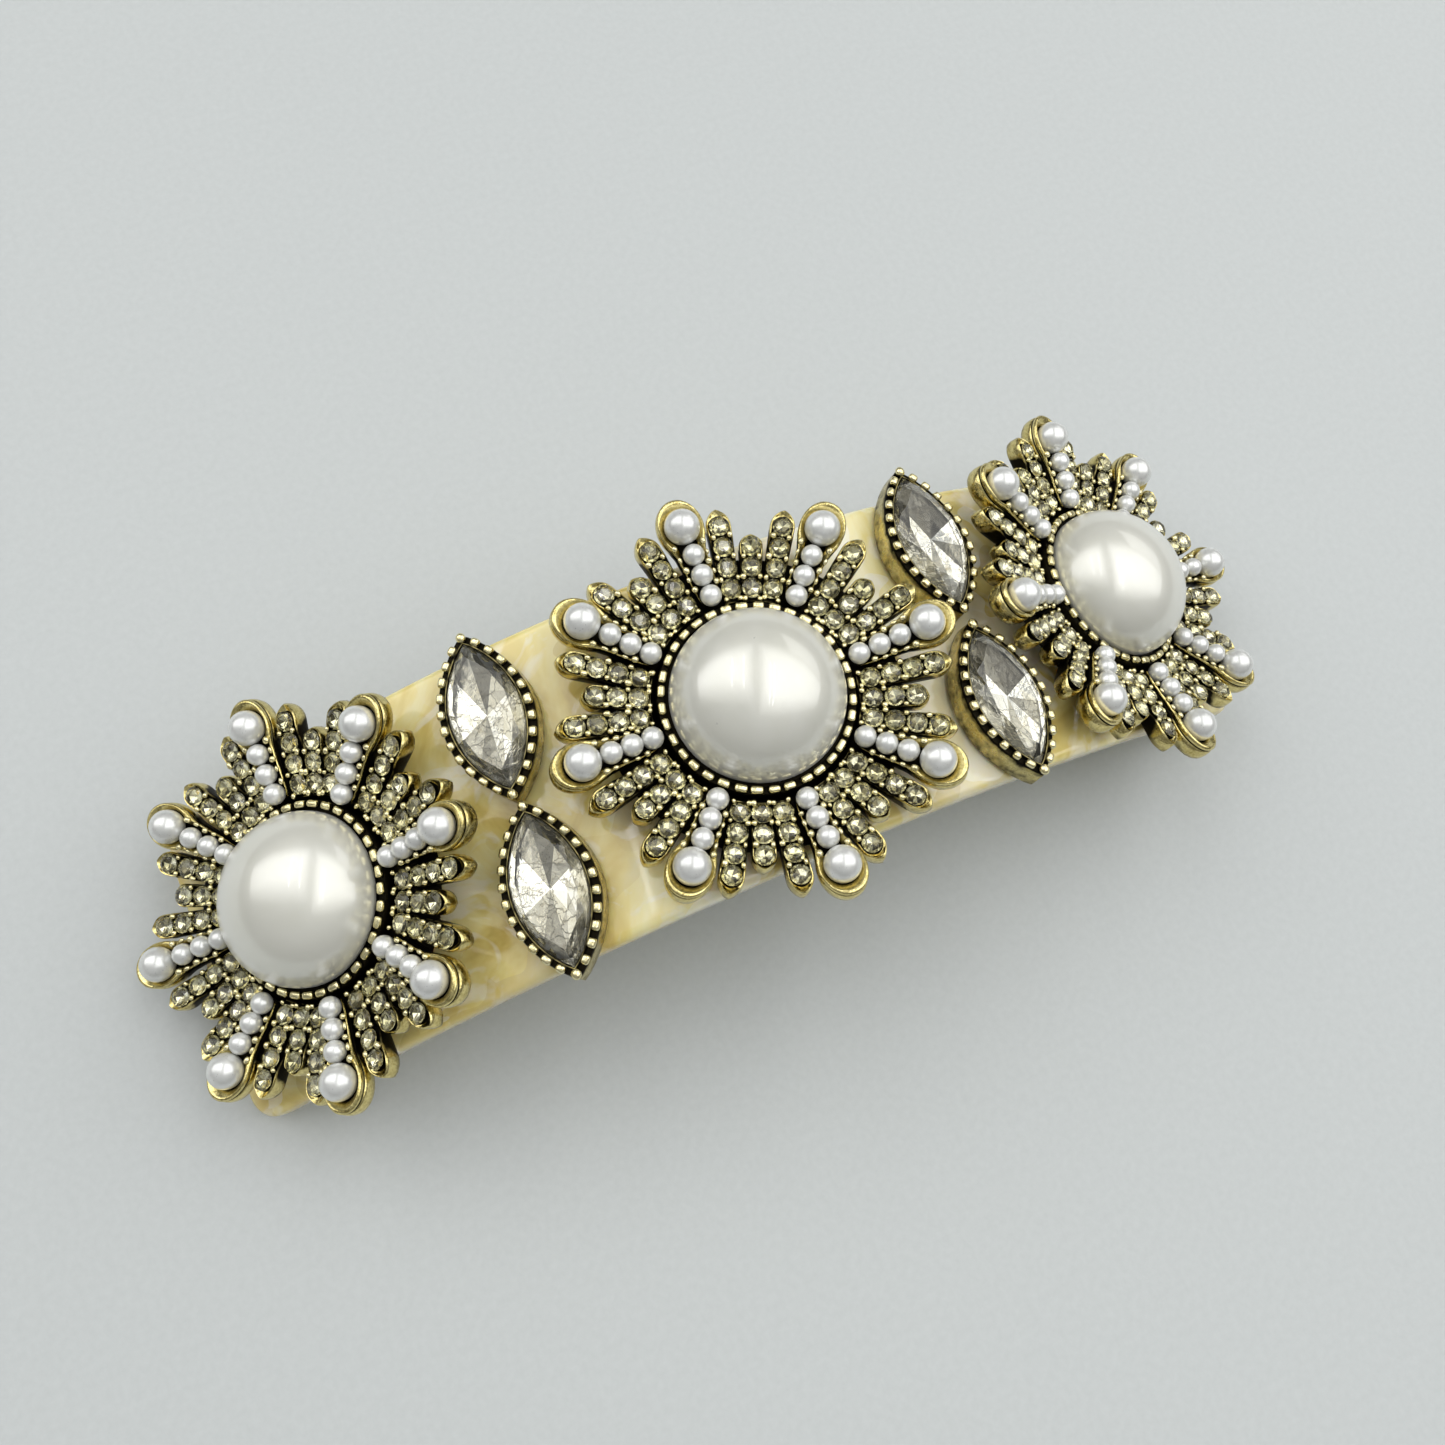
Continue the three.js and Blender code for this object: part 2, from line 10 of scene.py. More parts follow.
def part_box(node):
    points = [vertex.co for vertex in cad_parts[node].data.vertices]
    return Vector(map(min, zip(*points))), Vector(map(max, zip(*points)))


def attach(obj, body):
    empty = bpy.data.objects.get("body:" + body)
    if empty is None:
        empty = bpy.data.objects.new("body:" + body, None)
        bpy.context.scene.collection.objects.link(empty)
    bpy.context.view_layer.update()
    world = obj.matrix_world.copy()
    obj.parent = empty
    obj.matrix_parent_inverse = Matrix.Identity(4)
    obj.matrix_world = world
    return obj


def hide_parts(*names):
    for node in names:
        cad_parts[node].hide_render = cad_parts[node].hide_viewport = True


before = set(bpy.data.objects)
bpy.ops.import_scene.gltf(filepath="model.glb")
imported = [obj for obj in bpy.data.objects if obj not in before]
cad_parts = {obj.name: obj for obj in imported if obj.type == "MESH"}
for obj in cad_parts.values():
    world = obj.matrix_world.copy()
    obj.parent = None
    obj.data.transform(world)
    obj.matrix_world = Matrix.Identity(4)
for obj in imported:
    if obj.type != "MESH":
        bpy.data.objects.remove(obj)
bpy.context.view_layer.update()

random.seed(7)
rng = np.random.default_rng(7)
DEG = math.pi / 180
MM = 0.001
SCENE = bpy.context.scene

# ------------------------------------------------------------------ the part's own dimensions, in mm
R_TOP = 75.93
PLATE_T = 2.8
PLATE_HALF_W = 13.8
PLATE_HALF_S = 55.2
PLATE_CORNER_R = 2.8
R_UNDER = R_TOP - PLATE_T
FLOWERS = [
    ("left", -39.54, 0.37, 86.04, -2.625, -2.191),
    ("center", 0.0, -0.29, 90.72, 1.811, -0.992),
    ("right", 38.26, -0.06, 90.16, 2.497, -0.362),
]
NAVETTES = [
    ("upper_left", -19.95, 7.1, 86.2),
    ("lower_left", -20.55, -7.97, 85.5),
    ("upper_right", 20.38, 7.9, 87.1),
    ("lower_right", 19.86, -7.6, 88.2),
]

# The working frame has its origin at the crown of the plate's top face. The plate's box gives where that is.
plate_lo, plate_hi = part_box("acetate_plate")
SHIFT = np.array(
    [
        (plate_lo.x + plate_hi.x) / 2 * 1000,
        (plate_lo.y + plate_hi.y) / 2 * 1000,
        plate_hi.z * 1000,
    ]
)


def turn_about(axis, angle):
    return np.array(Matrix.Rotation(angle, 3, Vector(axis)))


def seat(s, y, roll=0.0, pitch=0.0, turn=0.0):
    """4x4 matrix in mm from a seat on the plate's top face to the object's frame."""
    a = s / R_TOP
    t = np.array([math.cos(a), 0, -math.sin(a)])
    c = np.array([0.0, 1.0, 0.0])
    n = np.array([math.sin(a), 0, math.cos(a)])
    o = np.array([R_TOP * math.sin(a), y, R_TOP * (math.cos(a) - 1)])
    q = turn_about(t, roll * DEG)
    t, c, n = q @ t, q @ c, q @ n
    q = turn_about(c, pitch * DEG)
    t, c, n = q @ t, q @ c, q @ n
    q = turn_about(n, turn * DEG)
    t, c = q @ t, q @ c
    m = np.eye(4)
    m[:3, 0], m[:3, 1], m[:3, 2], m[:3, 3] = t, c, n, o + SHIFT
    return m


WORK = np.eye(4)
WORK[:3, 3] = SHIFT


def smooth(a, b, x):
    t = min(1.0, max(0.0, (x - a) / (b - a)))
    return t * t * (3 - 2 * t)


# ------------------------------------------------------------------ mesh building
class Piece:
    """Collects closed bodies in one local frame, in mm, and makes one object of them."""

    def __init__(self):
        self.v, self.f, self.mat, self.smooth = [], [], [], []
        self.patina, self.tone_and_glint = [], []

    def add(self, verts, faces, mat=0, smooth=True, patina=0.0, tone_and_glint=0.5, place=None):
        verts = np.asarray(verts, float)
        if place is not None:
            verts = verts @ place[:3, :3].T + place[:3, 3]
        base = len(self.v)
        self.v.extend(verts.tolist())
        self.f.extend([tuple(base + i for i in f) for f in faces])
        n = len(faces)
        self.mat.extend([mat] * n if np.isscalar(mat) else list(mat))
        self.smooth.extend([smooth] * n if np.isscalar(smooth) else list(smooth))
        self.patina.extend(
            [float(patina)] * len(verts) if np.isscalar(patina) else [float(p) for p in patina]
        )
        self.tone_and_glint.extend([float(tone_and_glint)] * n if np.isscalar(tone_and_glint) else [float(t) for t in tone_and_glint])

    def make(self, name, materials, place=WORK, sharp=None):
        v = np.array(self.v) @ place[:3, :3].T + place[:3, 3]
        me = bpy.data.meshes.new(name)
        me.from_pydata((v * MM).tolist(), [], self.f)
        me.polygons.foreach_set("material_index", self.mat)
        me.polygons.foreach_set("use_smooth", self.smooth)
        # per-vertex darkening weight: real patina and painted shade in the hollows and between parts
        a = me.attributes.new("patina", "FLOAT", "POINT")
        a.data.foreach_set("value", self.patina)
        # per-corner weight: the glass's own tone, and the painted glint or dark reflection of each foil facet
        a = me.attributes.new("tone_and_glint", "FLOAT", "CORNER")
        loops = np.concatenate([np.full(len(f), t) for f, t in zip(self.f, self.tone_and_glint)])
        a.data.foreach_set("value", loops.astype(np.float32))
        for m in materials:
            me.materials.append(m)
        me.update()
        if sharp is not None:
            me.set_sharp_from_angle(angle=sharp * DEG)
        ob = bpy.data.objects.new(name, me)
        SCENE.collection.objects.link(ob)
        return ob


def place_of(x=(1, 0, 0), y=(0, 1, 0), z=(0, 0, 1), o=(0, 0, 0)):
    m = np.eye(4)
    m[:3, 0], m[:3, 1], m[:3, 2], m[:3, 3] = x, y, z, o
    return m


def ray_place(r0, h0, slope, turn):
    """x runs outward and rises by the slope, z is normal to it."""
    s, t = slope * DEG, turn * DEG
    m = np.eye(4)
    m[:3, :3] = turn_about((0, 0, 1), t) @ turn_about((0, 1, 0), -s)
    m[:3, 3] = [r0 * math.cos(t), r0 * math.sin(t), h0]
    return m


def loft(rings, cap_start=True, cap_end=True):
    """Closed body over a list of rings, each n x 3 and counter-clockwise seen from the end it runs to."""
    n = len(rings[0])
    v = np.concatenate([np.asarray(r, float) for r in rings])
    f = []
    for k in range(len(rings) - 1):
        for i in range(n):
            j = (i + 1) % n
            f.append((k * n + i, k * n + j, (k + 1) * n + j, (k + 1) * n + i))
    if cap_start:
        c = len(v)
        v = np.vstack([v, v[:n].mean(0)])
        f += [(c, (i + 1) % n, i) for i in range(n)]
    if cap_end:
        c = len(v)
        b = (len(rings) - 1) * n
        v = np.vstack([v, v[b : b + n].mean(0)])
        f += [(c, b + i, b + (i + 1) % n) for i in range(n)]
    return v, f


def inset(outline, d):
    """A plan outline (counter-clockwise) moved inwards by d."""
    p = np.asarray(outline, float)
    e1 = p - np.roll(p, 1, 0)
    e2 = np.roll(p, -1, 0) - p
    e1 /= np.linalg.norm(e1, axis=1)[:, None] + 1e-12
    e2 /= np.linalg.norm(e2, axis=1)[:, None] + 1e-12
    n1 = np.stack([-e1[:, 1], e1[:, 0]], 1)
    n2 = np.stack([-e2[:, 1], e2[:, 0]], 1)
    n = n1 + n2
    n /= np.linalg.norm(n, axis=1)[:, None] + 1e-12
    k = np.clip(1.0 / np.maximum((n * n1).sum(1), 0.35), 1.0, 1.6)
    return p + n * (d * k)[:, None]


def ring_at(outline, d, z):
    q = inset(outline, d) if d else np.asarray(outline, float)
    return np.column_stack([q, np.full(len(q), z)])


def lathe(profile, n, closed=False):
    """Turned body about Z. The profile is (radius, height) from the lower axis point to the upper one, or a closed loop."""
    ang = np.arange(n) * 2 * math.pi / n
    c, s = np.cos(ang), np.sin(ang)
    v, idx = [], []
    for r, z in profile:
        if r < 1e-6:
            idx.append([len(v)] * n)
            v.append([0, 0, z])
        else:
            idx.append(list(range(len(v), len(v) + n)))
            v.extend(np.column_stack([r * c, r * s, np.full(n, z)]).tolist())
    f = []
    pairs = list(zip(idx[:-1], idx[1:]))
    if closed:
        pairs.append((idx[-1], idx[0]))
    for a, b in pairs:
        for i in range(n):
            j = (i + 1) % n
            q = [a[i], a[j], b[j], b[i]]
            q = [x for k, x in enumerate(q) if x != q[k - 1]]
            if len(q) > 2:
                f.append(tuple(q))
    return np.array(v, float), f


_ico = {}


def ico(level):
    if level not in _ico:
        bm = bmesh.new()
        bmesh.ops.create_icosphere(bm, subdivisions=level, radius=1.0)
        bm.verts.ensure_lookup_table()
        _ico[level] = (
            np.array([v.co[:] for v in bm.verts]),
            [tuple(v.index for v in f.verts) for f in bm.faces],
        )
        bm.free()
    return _ico[level]


def ball(piece, at, r, level=2, squash=1.0, place=None, **kw):
    v, f = ico(level)
    v = v * np.array([r, r, r * squash]) + np.array(at)
    piece.add(v, f, place=place, **kw)


def rounded_box(sx, sy, sz, r, seg=3, power=1):
    """A box with round edges: rings of a rounded rectangle, from the bottom up."""

    def rect(hx, hy, rad):
        pts = []
        for cx, cy, a0 in (
            (hx - rad, hy - rad, 0),
            (-hx + rad, hy - rad, 90),
            (-hx + rad, -hy + rad, 180),
            (hx - rad, -hy + rad, 270),
        ):
            for i in range(seg + 1):
                a = (a0 + 90 * i / seg) * DEG
                pts.append([cx + rad * math.cos(a), cy + rad * math.sin(a)])
        return np.array(pts)

    rings = []
    hx, hy, hz = sx / 2, sy / 2, sz / 2
    steps = [(i * 90 / seg) * DEG for i in range(seg + 1)]
    for a in steps:
        d = r * (1 - math.sin(a))
        rr = max(0.01, r * 1.0 - d * 0.8)
        rings.append(np.column_stack([rect(hx - d, hy - d, rr), np.full(4 * (seg + 1), -hz + r * (1 - math.cos(a)))]))
    for a in reversed(steps):
        d = r * (1 - math.sin(a))
        rr = max(0.01, r * 1.0 - d * 0.8)
        rings.append(np.column_stack([rect(hx - d, hy - d, rr), np.full(4 * (seg + 1), hz - r * (1 - math.cos(a)))]))
    return loft(rings)


# ------------------------------------------------------------------ materials
def new_material(name):
    m = bpy.data.materials.new(name)
    m.use_nodes = True
    nt = m.node_tree
    b = nt.nodes["Principled BSDF"]
    return m, nt, b


def node(nt, kind, **props):
    n = nt.nodes.new(kind)
    for k, v in props.items():
        setattr(n, k, v)
    return n


def ramp(nt, fac, stops, interpolation="LINEAR"):
    r = node(nt, "ShaderNodeValToRGB")
    r.color_ramp.interpolation = interpolation
    els = r.color_ramp.elements
    while len(els) < len(stops):
        els.new(0.5)
    for e, (p, c) in zip(els, stops):
        e.position = p
        e.color = (*c, 1.0) if not np.isscalar(c) else (c, c, c, 1.0)
    nt.links.new(fac, r.inputs["Fac"])
    return r.outputs["Color"]


def noise(nt, scale, detail=3.0, rough=0.5, distortion=0.0, vector=None):
    n = node(nt, "ShaderNodeTexNoise")
    n.inputs["Scale"].default_value = scale
    n.inputs["Detail"].default_value = detail
    n.inputs["Roughness"].default_value = rough
    n.inputs["Distortion"].default_value = distortion
    if vector is None:
        vector = coords(nt)
    nt.links.new(vector, n.inputs["Vector"])
    return n.outputs["Fac"]


def coords(nt):
    for n in nt.nodes:
        if n.bl_idname == "ShaderNodeTexCoord":
            return n.outputs["Object"]
    return node(nt, "ShaderNodeTexCoord").outputs["Object"]


def attribute(nt, name):
    a = node(nt, "ShaderNodeAttribute")
    a.attribute_name = name
    return a.outputs["Fac"]


def maths(nt, op, a, b=None, clamp=False):
    m = node(nt, "ShaderNodeMath", operation=op, use_clamp=clamp)
    for i, x in enumerate((a, b)):
        if x is None:
            continue
        if isinstance(x, (int, float)):
            m.inputs[i].default_value = x
        else:
            nt.links.new(x, m.inputs[i])
    return m.outputs[0]


def mix_colour(nt, fac, a, b, blend="MIX"):
    m = node(nt, "ShaderNodeMix", data_type="RGBA", blend_type=blend)
    if isinstance(fac, (int, float)):
        m.inputs[0].default_value = fac
    else:
        nt.links.new(fac, m.inputs[0])
    for i, x in ((6, a), (7, b)):
        if isinstance(x, tuple):
            m.inputs[i].default_value = (*x, 1.0)
        else:
            nt.links.new(x, m.inputs[i])
    return m.outputs[2]


def bump(nt, height, strength, distance, target=None, normal=None):
    b = node(nt, "ShaderNodeBump")
    b.inputs["Strength"].default_value = strength
    b.inputs["Distance"].default_value = distance
    nt.links.new(height, b.inputs["Height"])
    if normal is not None:
        nt.links.new(normal, b.inputs["Normal"])
    if target is not None:
        nt.links.new(b.outputs[0], target)
    return b.outputs[0]


def gold_material(name, bright, mid, dark, rough=0.24):
    """Antique gold plate: worn bright on high spots, black in the recesses; the recess weight is partly real patina and
    partly painted shade where hollows and gaps between parts lie in shadow.
    """
    m, nt, b = new_material(name)
    b.inputs["Metallic"].default_value = 1.0
    p = attribute(nt, "patina")
    n1 = noise(nt, 1300, 4, 0.6)
    n2 = noise(nt, 5200, 2, 0.5)
    # patina and painted shade in the recesses, with a ragged edge
    e = maths(nt, "ADD", p, maths(nt, "MULTIPLY", maths(nt, "SUBTRACT", n1, 0.5), 0.75))
    e = ramp(nt, e, [(0.3, 0.0), (0.72, 1.0)], "EASE")
    tone = ramp(nt, maths(nt, "ADD", maths(nt, "MULTIPLY", n1, 0.6), maths(nt, "MULTIPLY", n2, 0.4)), [(0.3, mid), (0.62, bright)])
    col = mix_colour(nt, e, tone, dark)
    nt.links.new(col, b.inputs["Base Color"])
    ro = ramp(nt, maths(nt, "ADD", maths(nt, "MULTIPLY", e, 0.6), maths(nt, "MULTIPLY", n2, 0.25)), [(0.0, rough), (0.9, 0.62)])
    nt.links.new(ro, b.inputs["Roughness"])
    bump(nt, n2, 0.35, 0.00006, b.inputs["Normal"])
    return m


GOLD = gold_material("antique_gold", (0.88, 0.75, 0.34), (0.40, 0.32, 0.10), (0.012, 0.010, 0.006), 0.10)
GOLD_BEAD = gold_material("antique_gold_grains", (0.94, 0.86, 0.54), (0.76, 0.66, 0.32), (0.014, 0.011, 0.006), 0.16)


def pearl_material(name, colour, warm, rough, coat, coat_rough, metallic, scale, coat_ior, sheen, relief):
    m, nt, b = new_material(name)
    n1 = noise(nt, scale, 3, 0.55, 0.6)
    col = ramp(nt, n1, [(0.3, colour), (0.7, warm)])
    nt.links.new(col, b.inputs["Base Color"])
    n2 = noise(nt, scale * 9, 2, 0.5)
    ro = ramp(nt, n2, [(0.2, rough * 0.85), (0.8, rough * 1.2)])
    nt.links.new(ro, b.inputs["Roughness"])
    b.inputs["Metallic"].default_value = metallic
    b.inputs["Coat Weight"].default_value = coat
    b.inputs["Coat Roughness"].default_value = coat_rough
    b.inputs["Coat IOR"].default_value = coat_ior
    b.inputs["IOR"].default_value = 1.6
    b.inputs["Sheen Weight"].default_value = sheen
    b.inputs["Sheen Roughness"].default_value = 0.45
    if relief:
        bump(nt, n2, relief, 0.00002, b.inputs["Normal"])
    return m


PEARL_DOME = pearl_material("pearl_dome_lacquer", (0.71, 0.70, 0.61), (0.76, 0.75, 0.675), 0.32, 1.0, 0.05, 0.26, 160, 1.78, 0.25, 0)
PEARL_SMALL = pearl_material("small_pearl_lacquer", (0.71, 0.715, 0.685), (0.80, 0.80, 0.77), 0.30, 1.0, 0.035, 0.40, 900, 1.85, 0.0, 0.03)


def glass_material(name, colour, ior=1.54):
    m, nt, b = new_material(name)
    b.inputs["Transmission Weight"].default_value = 1.0
    b.inputs["Roughness"].default_value = 0.0
    b.inputs["IOR"].default_value = ior
    t = attribute(nt, "tone_and_glint")
    col = ramp(nt, t, [(0.0, colour[0]), (0.5, colour[1]), (1.0, colour[2])])
    nt.links.new(col, b.inputs["Base Color"])
    return m


def foil_material(name, light, dark, spot, crack, scale, rough, relief, darkest_facet_shade, metallic):
    """Mirror foil behind a stone, with the fine crackle of old foil, each facet painted lighter or darker as a painted
    glint or dark reflection.
    """
    m, nt, b = new_material(name)
    b.inputs["Metallic"].default_value = metallic
    w = node(nt, "ShaderNodeTexNoise")
    w.inputs["Scale"].default_value = scale * 0.9
    w.inputs["Detail"].default_value = 4
    nt.links.new(coords(nt), w.inputs["Vector"])
    vec = mix_colour(nt, 0.0035 * 650 / scale, coords(nt), w.outputs["Color"])
    v = node(nt, "ShaderNodeTexVoronoi", feature="DISTANCE_TO_EDGE")
    v.inputs["Scale"].default_value = scale
    nt.links.new(vec, v.inputs["Vector"])
    n1 = noise(nt, scale * 0.8, 4, 0.6, 1.0)
    col = mix_colour(nt, ramp(nt, n1, [(0.35, 0.0), (0.65, 1.0)]), light, dark)
    line = ramp(nt, v.outputs["Distance"], [(0.0, 1.0), (crack, 0.0)])
    col = mix_colour(nt, maths(nt, "MULTIPLY", line, 0.35), col, spot)
    col = mix_colour(nt, ramp(nt, noise(nt, scale * 0.45, 5, 0.7, 1.5), [(0.60, 0.0), (0.70, 0.75)]), col, spot)
    # painted reflections: each foil facet multiplied by its own weight, bright for a painted glint, warm dark grey for
    # a painted dark reflection
    half = (1 + darkest_facet_shade) / 2
    shade = ramp(
        nt,
        attribute(nt, "tone_and_glint"),
        [(0.0, (darkest_facet_shade, darkest_facet_shade * 0.92, darkest_facet_shade * 0.7)), (0.5, (half, half * 0.97, half * 0.84)), (1.0, (1.0, 1.0, 0.98))],
    )
    col = mix_colour(nt, 1.0, col, shade, "MULTIPLY")
    nt.links.new(col, b.inputs["Base Color"])
    ro = ramp(nt, n1, [(0.2, rough), (0.8, rough * 3)])
    nt.links.new(ro, b.inputs["Roughness"])
    bump(nt, maths(nt, "ADD", n1, maths(nt, "MULTIPLY", line, 0.2)), relief, 0.00008, b.inputs["Normal"])
    return m


SMOKY_GLASS = glass_material(
    "smoky_olive_glass", ((0.86, 0.84, 0.63), (0.93, 0.915, 0.76), (0.98, 0.97, 0.88))
)
SMOKY_FOIL = foil_material("smoky_foil", (1.0, 0.98, 0.86), (0.86, 0.82, 0.58), (0.55, 0.50, 0.28), 0.03, 1500, 0.03, 0.12, 0.16, 0.94)
CLEAR_GLASS = glass_material("clear_glass", ((0.97, 0.975, 0.97), (0.985, 0.99, 0.985), (1.0, 1.0, 1.0)))
CLEAR_FOIL = foil_material("silver_foil", (1.0, 0.99, 0.93), (0.88, 0.85, 0.74), (0.64, 0.54, 0.32), 0.05, 650, 0.04, 0.55, 0.03, 0.82)


def acetate_material():
    m, nt, b = new_material("marbled_acetate")
    co = coords(nt)
    mp = node(nt, "ShaderNodeMapping")
    mp.inputs["Scale"].default_value = (1.0, 1.0, 0.6)
    mp.inputs["Rotation"].default_value = (0.3, 0.2, 0.7)
    nt.links.new(co, mp.inputs["Vector"])
    swirl = noise(nt, 70, 4, 0.55, 1.6, mp.outputs[0])
    swirl2 = noise(nt, 150, 3, 0.5, 2.4, mp.outputs[0])
    fine = noise(nt, 900, 3, 0.6)
    col = ramp(
        nt,
        swirl,
        [
            (0.28, (0.55, 0.38, 0.085)),
            (0.40, (0.76, 0.61, 0.20)),
            (0.50, (0.86, 0.74, 0.31)),
            (0.60, (0.90, 0.82, 0.46)),
            (0.72, (0.94, 0.90, 0.66)),
        ],
    )
    pink = ramp(nt, swirl2, [(0.52, 0.0), (0.60, 1.0)])
    col = mix_colour(nt, maths(nt, "MULTIPLY", pink, 0.6), col, (0.91, 0.86, 0.70))
    warp = node(nt, "ShaderNodeTexNoise")
    warp.inputs["Scale"].default_value = 110
    nt.links.new(mp.outputs[0], warp.inputs["Vector"])
    vec = mix_colour(nt, 0.03, mp.outputs[0], warp.outputs["Color"])
    flakes = node(nt, "ShaderNodeTexVoronoi", feature="F1")
    flakes.inputs["Scale"].default_value = 105
    nt.links.new(vec, flakes.inputs["Vector"])
    sepc = node(nt, "ShaderNodeSeparateColor")
    nt.links.new(flakes.outputs["Color"], sepc.inputs[0])
    col = mix_colour(nt, ramp(nt, sepc.outputs[0], [(0.0, 0.5), (0.38, 0.0)]), col, (0.61, 0.45, 0.12))
    col = mix_colour(nt, ramp(nt, sepc.outputs[1], [(0.66, 0.0), (1.0, 0.5)]), col, (0.93, 0.91, 0.84))
    nt.links.new(col, b.inputs["Base Color"])
    ro = ramp(nt, fine, [(0.3, 0.10), (0.7, 0.18)])
    nt.links.new(ro, b.inputs["Roughness"])
    b.inputs["IOR"].default_value = 1.5
    b.inputs["Coat Weight"].default_value = 0.6
    b.inputs["Coat Roughness"].default_value = 0.04
    b.inputs["Subsurface Weight"].default_value = 0.35
    b.inputs["Subsurface Radius"].default_value = (1.0, 0.8, 0.5)
    b.inputs["Subsurface Scale"].default_value = 0.0016
    bump(nt, noise(nt, 240, 2, 0.5), 0.15, 0.0002, b.inputs["Normal"])
    return m


ACETATE = acetate_material()


def steel_material(name, colour, dark, rough, streak=(1.0, 30.0, 30.0)):
    m, nt, b = new_material(name)
    b.inputs["Metallic"].default_value = 1.0
    mp = node(nt, "ShaderNodeMapping")
    mp.inputs["Scale"].default_value = streak
    nt.links.new(coords(nt), mp.inputs["Vector"])
    line = noise(nt, 260, 3, 0.6, 0.0, mp.outputs[0])
    blot = noise(nt, 320, 4, 0.6, 0.5)
    p = attribute(nt, "patina")
    col = mix_colour(nt, ramp(nt, blot, [(0.35, 0.0), (0.75, 1.0)]), colour, dark)
    col = mix_colour(nt, maths(nt, "MULTIPLY", p, 0.8), col, (0.05, 0.045, 0.04))
    nt.links.new(col, b.inputs["Base Color"])
    ro = ramp(nt, line, [(0.25, rough * 0.75), (0.75, rough * 1.35)])
    nt.links.new(ro, b.inputs["Roughness"])
    bump(nt, line, 0.18, 0.00003, b.inputs["Normal"])
    return m


CLIP_METAL = steel_material("clip_plated_steel", (0.72, 0.68, 0.58), (0.58, 0.54, 0.44), 0.26)
SPRING_METAL = steel_material("clip_spring_steel", (0.76, 0.76, 0.75), (0.62, 0.62, 0.61), 0.2)

# ------------------------------------------------------------------ acetate plate
def arc_point(s, y, depth):
    a = s / R_TOP
    r = R_TOP - depth
    return [r * math.sin(a), y, r * math.cos(a) - R_TOP]


def make_plate():
    rho = 0.75  # eased edge
    c = PLATE_CORNER_R

    def half_width(s):
        d = PLATE_HALF_S - abs(s)
        if d >= c:
            return PLATE_HALF_W
        return PLATE_HALF_W - c + math.sqrt(max(0.0, c * c - (c - d) ** 2))

    # stations along the length, close together at the ends
    ends = [PLATE_HALF_S - c * (1 - math.sin(t * DEG)) for t in range(0, 91, 6)]
    inner = list(np.linspace(-(PLATE_HALF_S - c) + 1.2, PLATE_HALF_S - c - 1.2, 91))
    ss = sorted(set([round(-x, 5) for x in ends] + [round(x, 5) for x in inner] + [round(x, 5) for x in ends]))
    edge = [1 - x for x in (0, 0.006, 0.014, 0.026, 0.042, 0.062)]
    vv = [-x for x in edge] + list(np.linspace(-0.9, 0.9, 25)) + edge[::-1]
    ns, nv = len(ss), len(vv)

    def edge_distance(s, y):
        ax, ay = abs(s), abs(y)
        dx, dy = PLATE_HALF_S - ax, PLATE_HALF_W - ay
        if dx < c and dy < c:
            return max(0.0, c - math.hypot(c - dx, c - dy))
        return max(0.0, min(dx, dy))

    verts = []
    for side in (0, 1):
        for s in ss:
            w = half_width(s)
            for v in vv:
                y = w * v
                d = edge_distance(s, y)
                drop = rho - math.sqrt(max(0.0, rho * rho - (rho - min(d, rho)) ** 2))
                depth = drop if side == 0 else PLATE_T - drop
                verts.append(arc_point(s, y, depth))
    top = lambda i, j: i * nv + j
    bot = lambda i, j: ns * nv + i * nv + j
    f = []
    for i in range(ns - 1):
        for j in range(nv - 1):
            f.append((top(i, j), top(i + 1, j), top(i + 1, j + 1), top(i, j + 1)))
            f.append((bot(i, j), bot(i, j + 1), bot(i + 1, j + 1), bot(i + 1, j)))
    for i in range(ns - 1):
        f.append((top(i, 0), bot(i, 0), bot(i + 1, 0), top(i + 1, 0)))
        f.append((top(i, nv - 1), top(i + 1, nv - 1), bot(i + 1, nv - 1), bot(i, nv - 1)))
    for j in range(nv - 1):
        f.append((top(0, j), top(0, j + 1), bot(0, j + 1), bot(0, j)))
        f.append((top(ns - 1, j), bot(ns - 1, j), bot(ns - 1, j + 1), top(ns - 1, j + 1)))
    v = np.array(verts)
    floor = -SHIFT[2]
    v[:, 2] = np.maximum(v[:, 2], floor)
    p = Piece()
    p.add(v, f)
    ob = p.make("marbled_plate", [ACETATE])
    bm = bmesh.new()
    bm.from_mesh(ob.data)
    bmesh.ops.remove_doubles(bm, verts=bm.verts, dist=2e-7)
    bmesh.ops.dissolve_degenerate(bm, edges=bm.edges, dist=1e-7)
    bmesh.ops.recalc_face_normals(bm, faces=bm.faces)
    for face in bm.faces:
        face.smooth = True
    bm.to_mesh(ob.data)
    bm.free()
    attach(ob, "barrette_body")
    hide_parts("acetate_plate")


make_plate()

# ------------------------------------------------------------------ flowers
COLLAR_R = 7.78
STONE_SLOPE, STONE_R0, STONE_H0 = 10.4, 9.6, 2.35
LONG = [9.6, 11.35, 13.1, 14.87]
SHORT = [9.55, 11.3, 13.03]
LONG_OFF, SHORT_OFF = 12.16, 22.5
STONE_R = 0.86
PEARL_SLOPE, PEARL_R0, PEARL_H0 = 11.95, 9.245, 3.08
PEARL_STEPS = [0, 1.8, 3.62, 6.08]
SMALL_R, BIG_R = 0.915, 1.5


def two_outlines(upper):
    """Upper half entries (x outer, y outer, x inner, y inner), from the root to the tip, mirrored into closed loops."""
    e = np.array(upper)
    mirror = e[:-1] * np.array([1, -1, 1, -1])
    loop = np.vstack([mirror, e[::-1]])
    return loop[:, :2], loop[:, 2:]


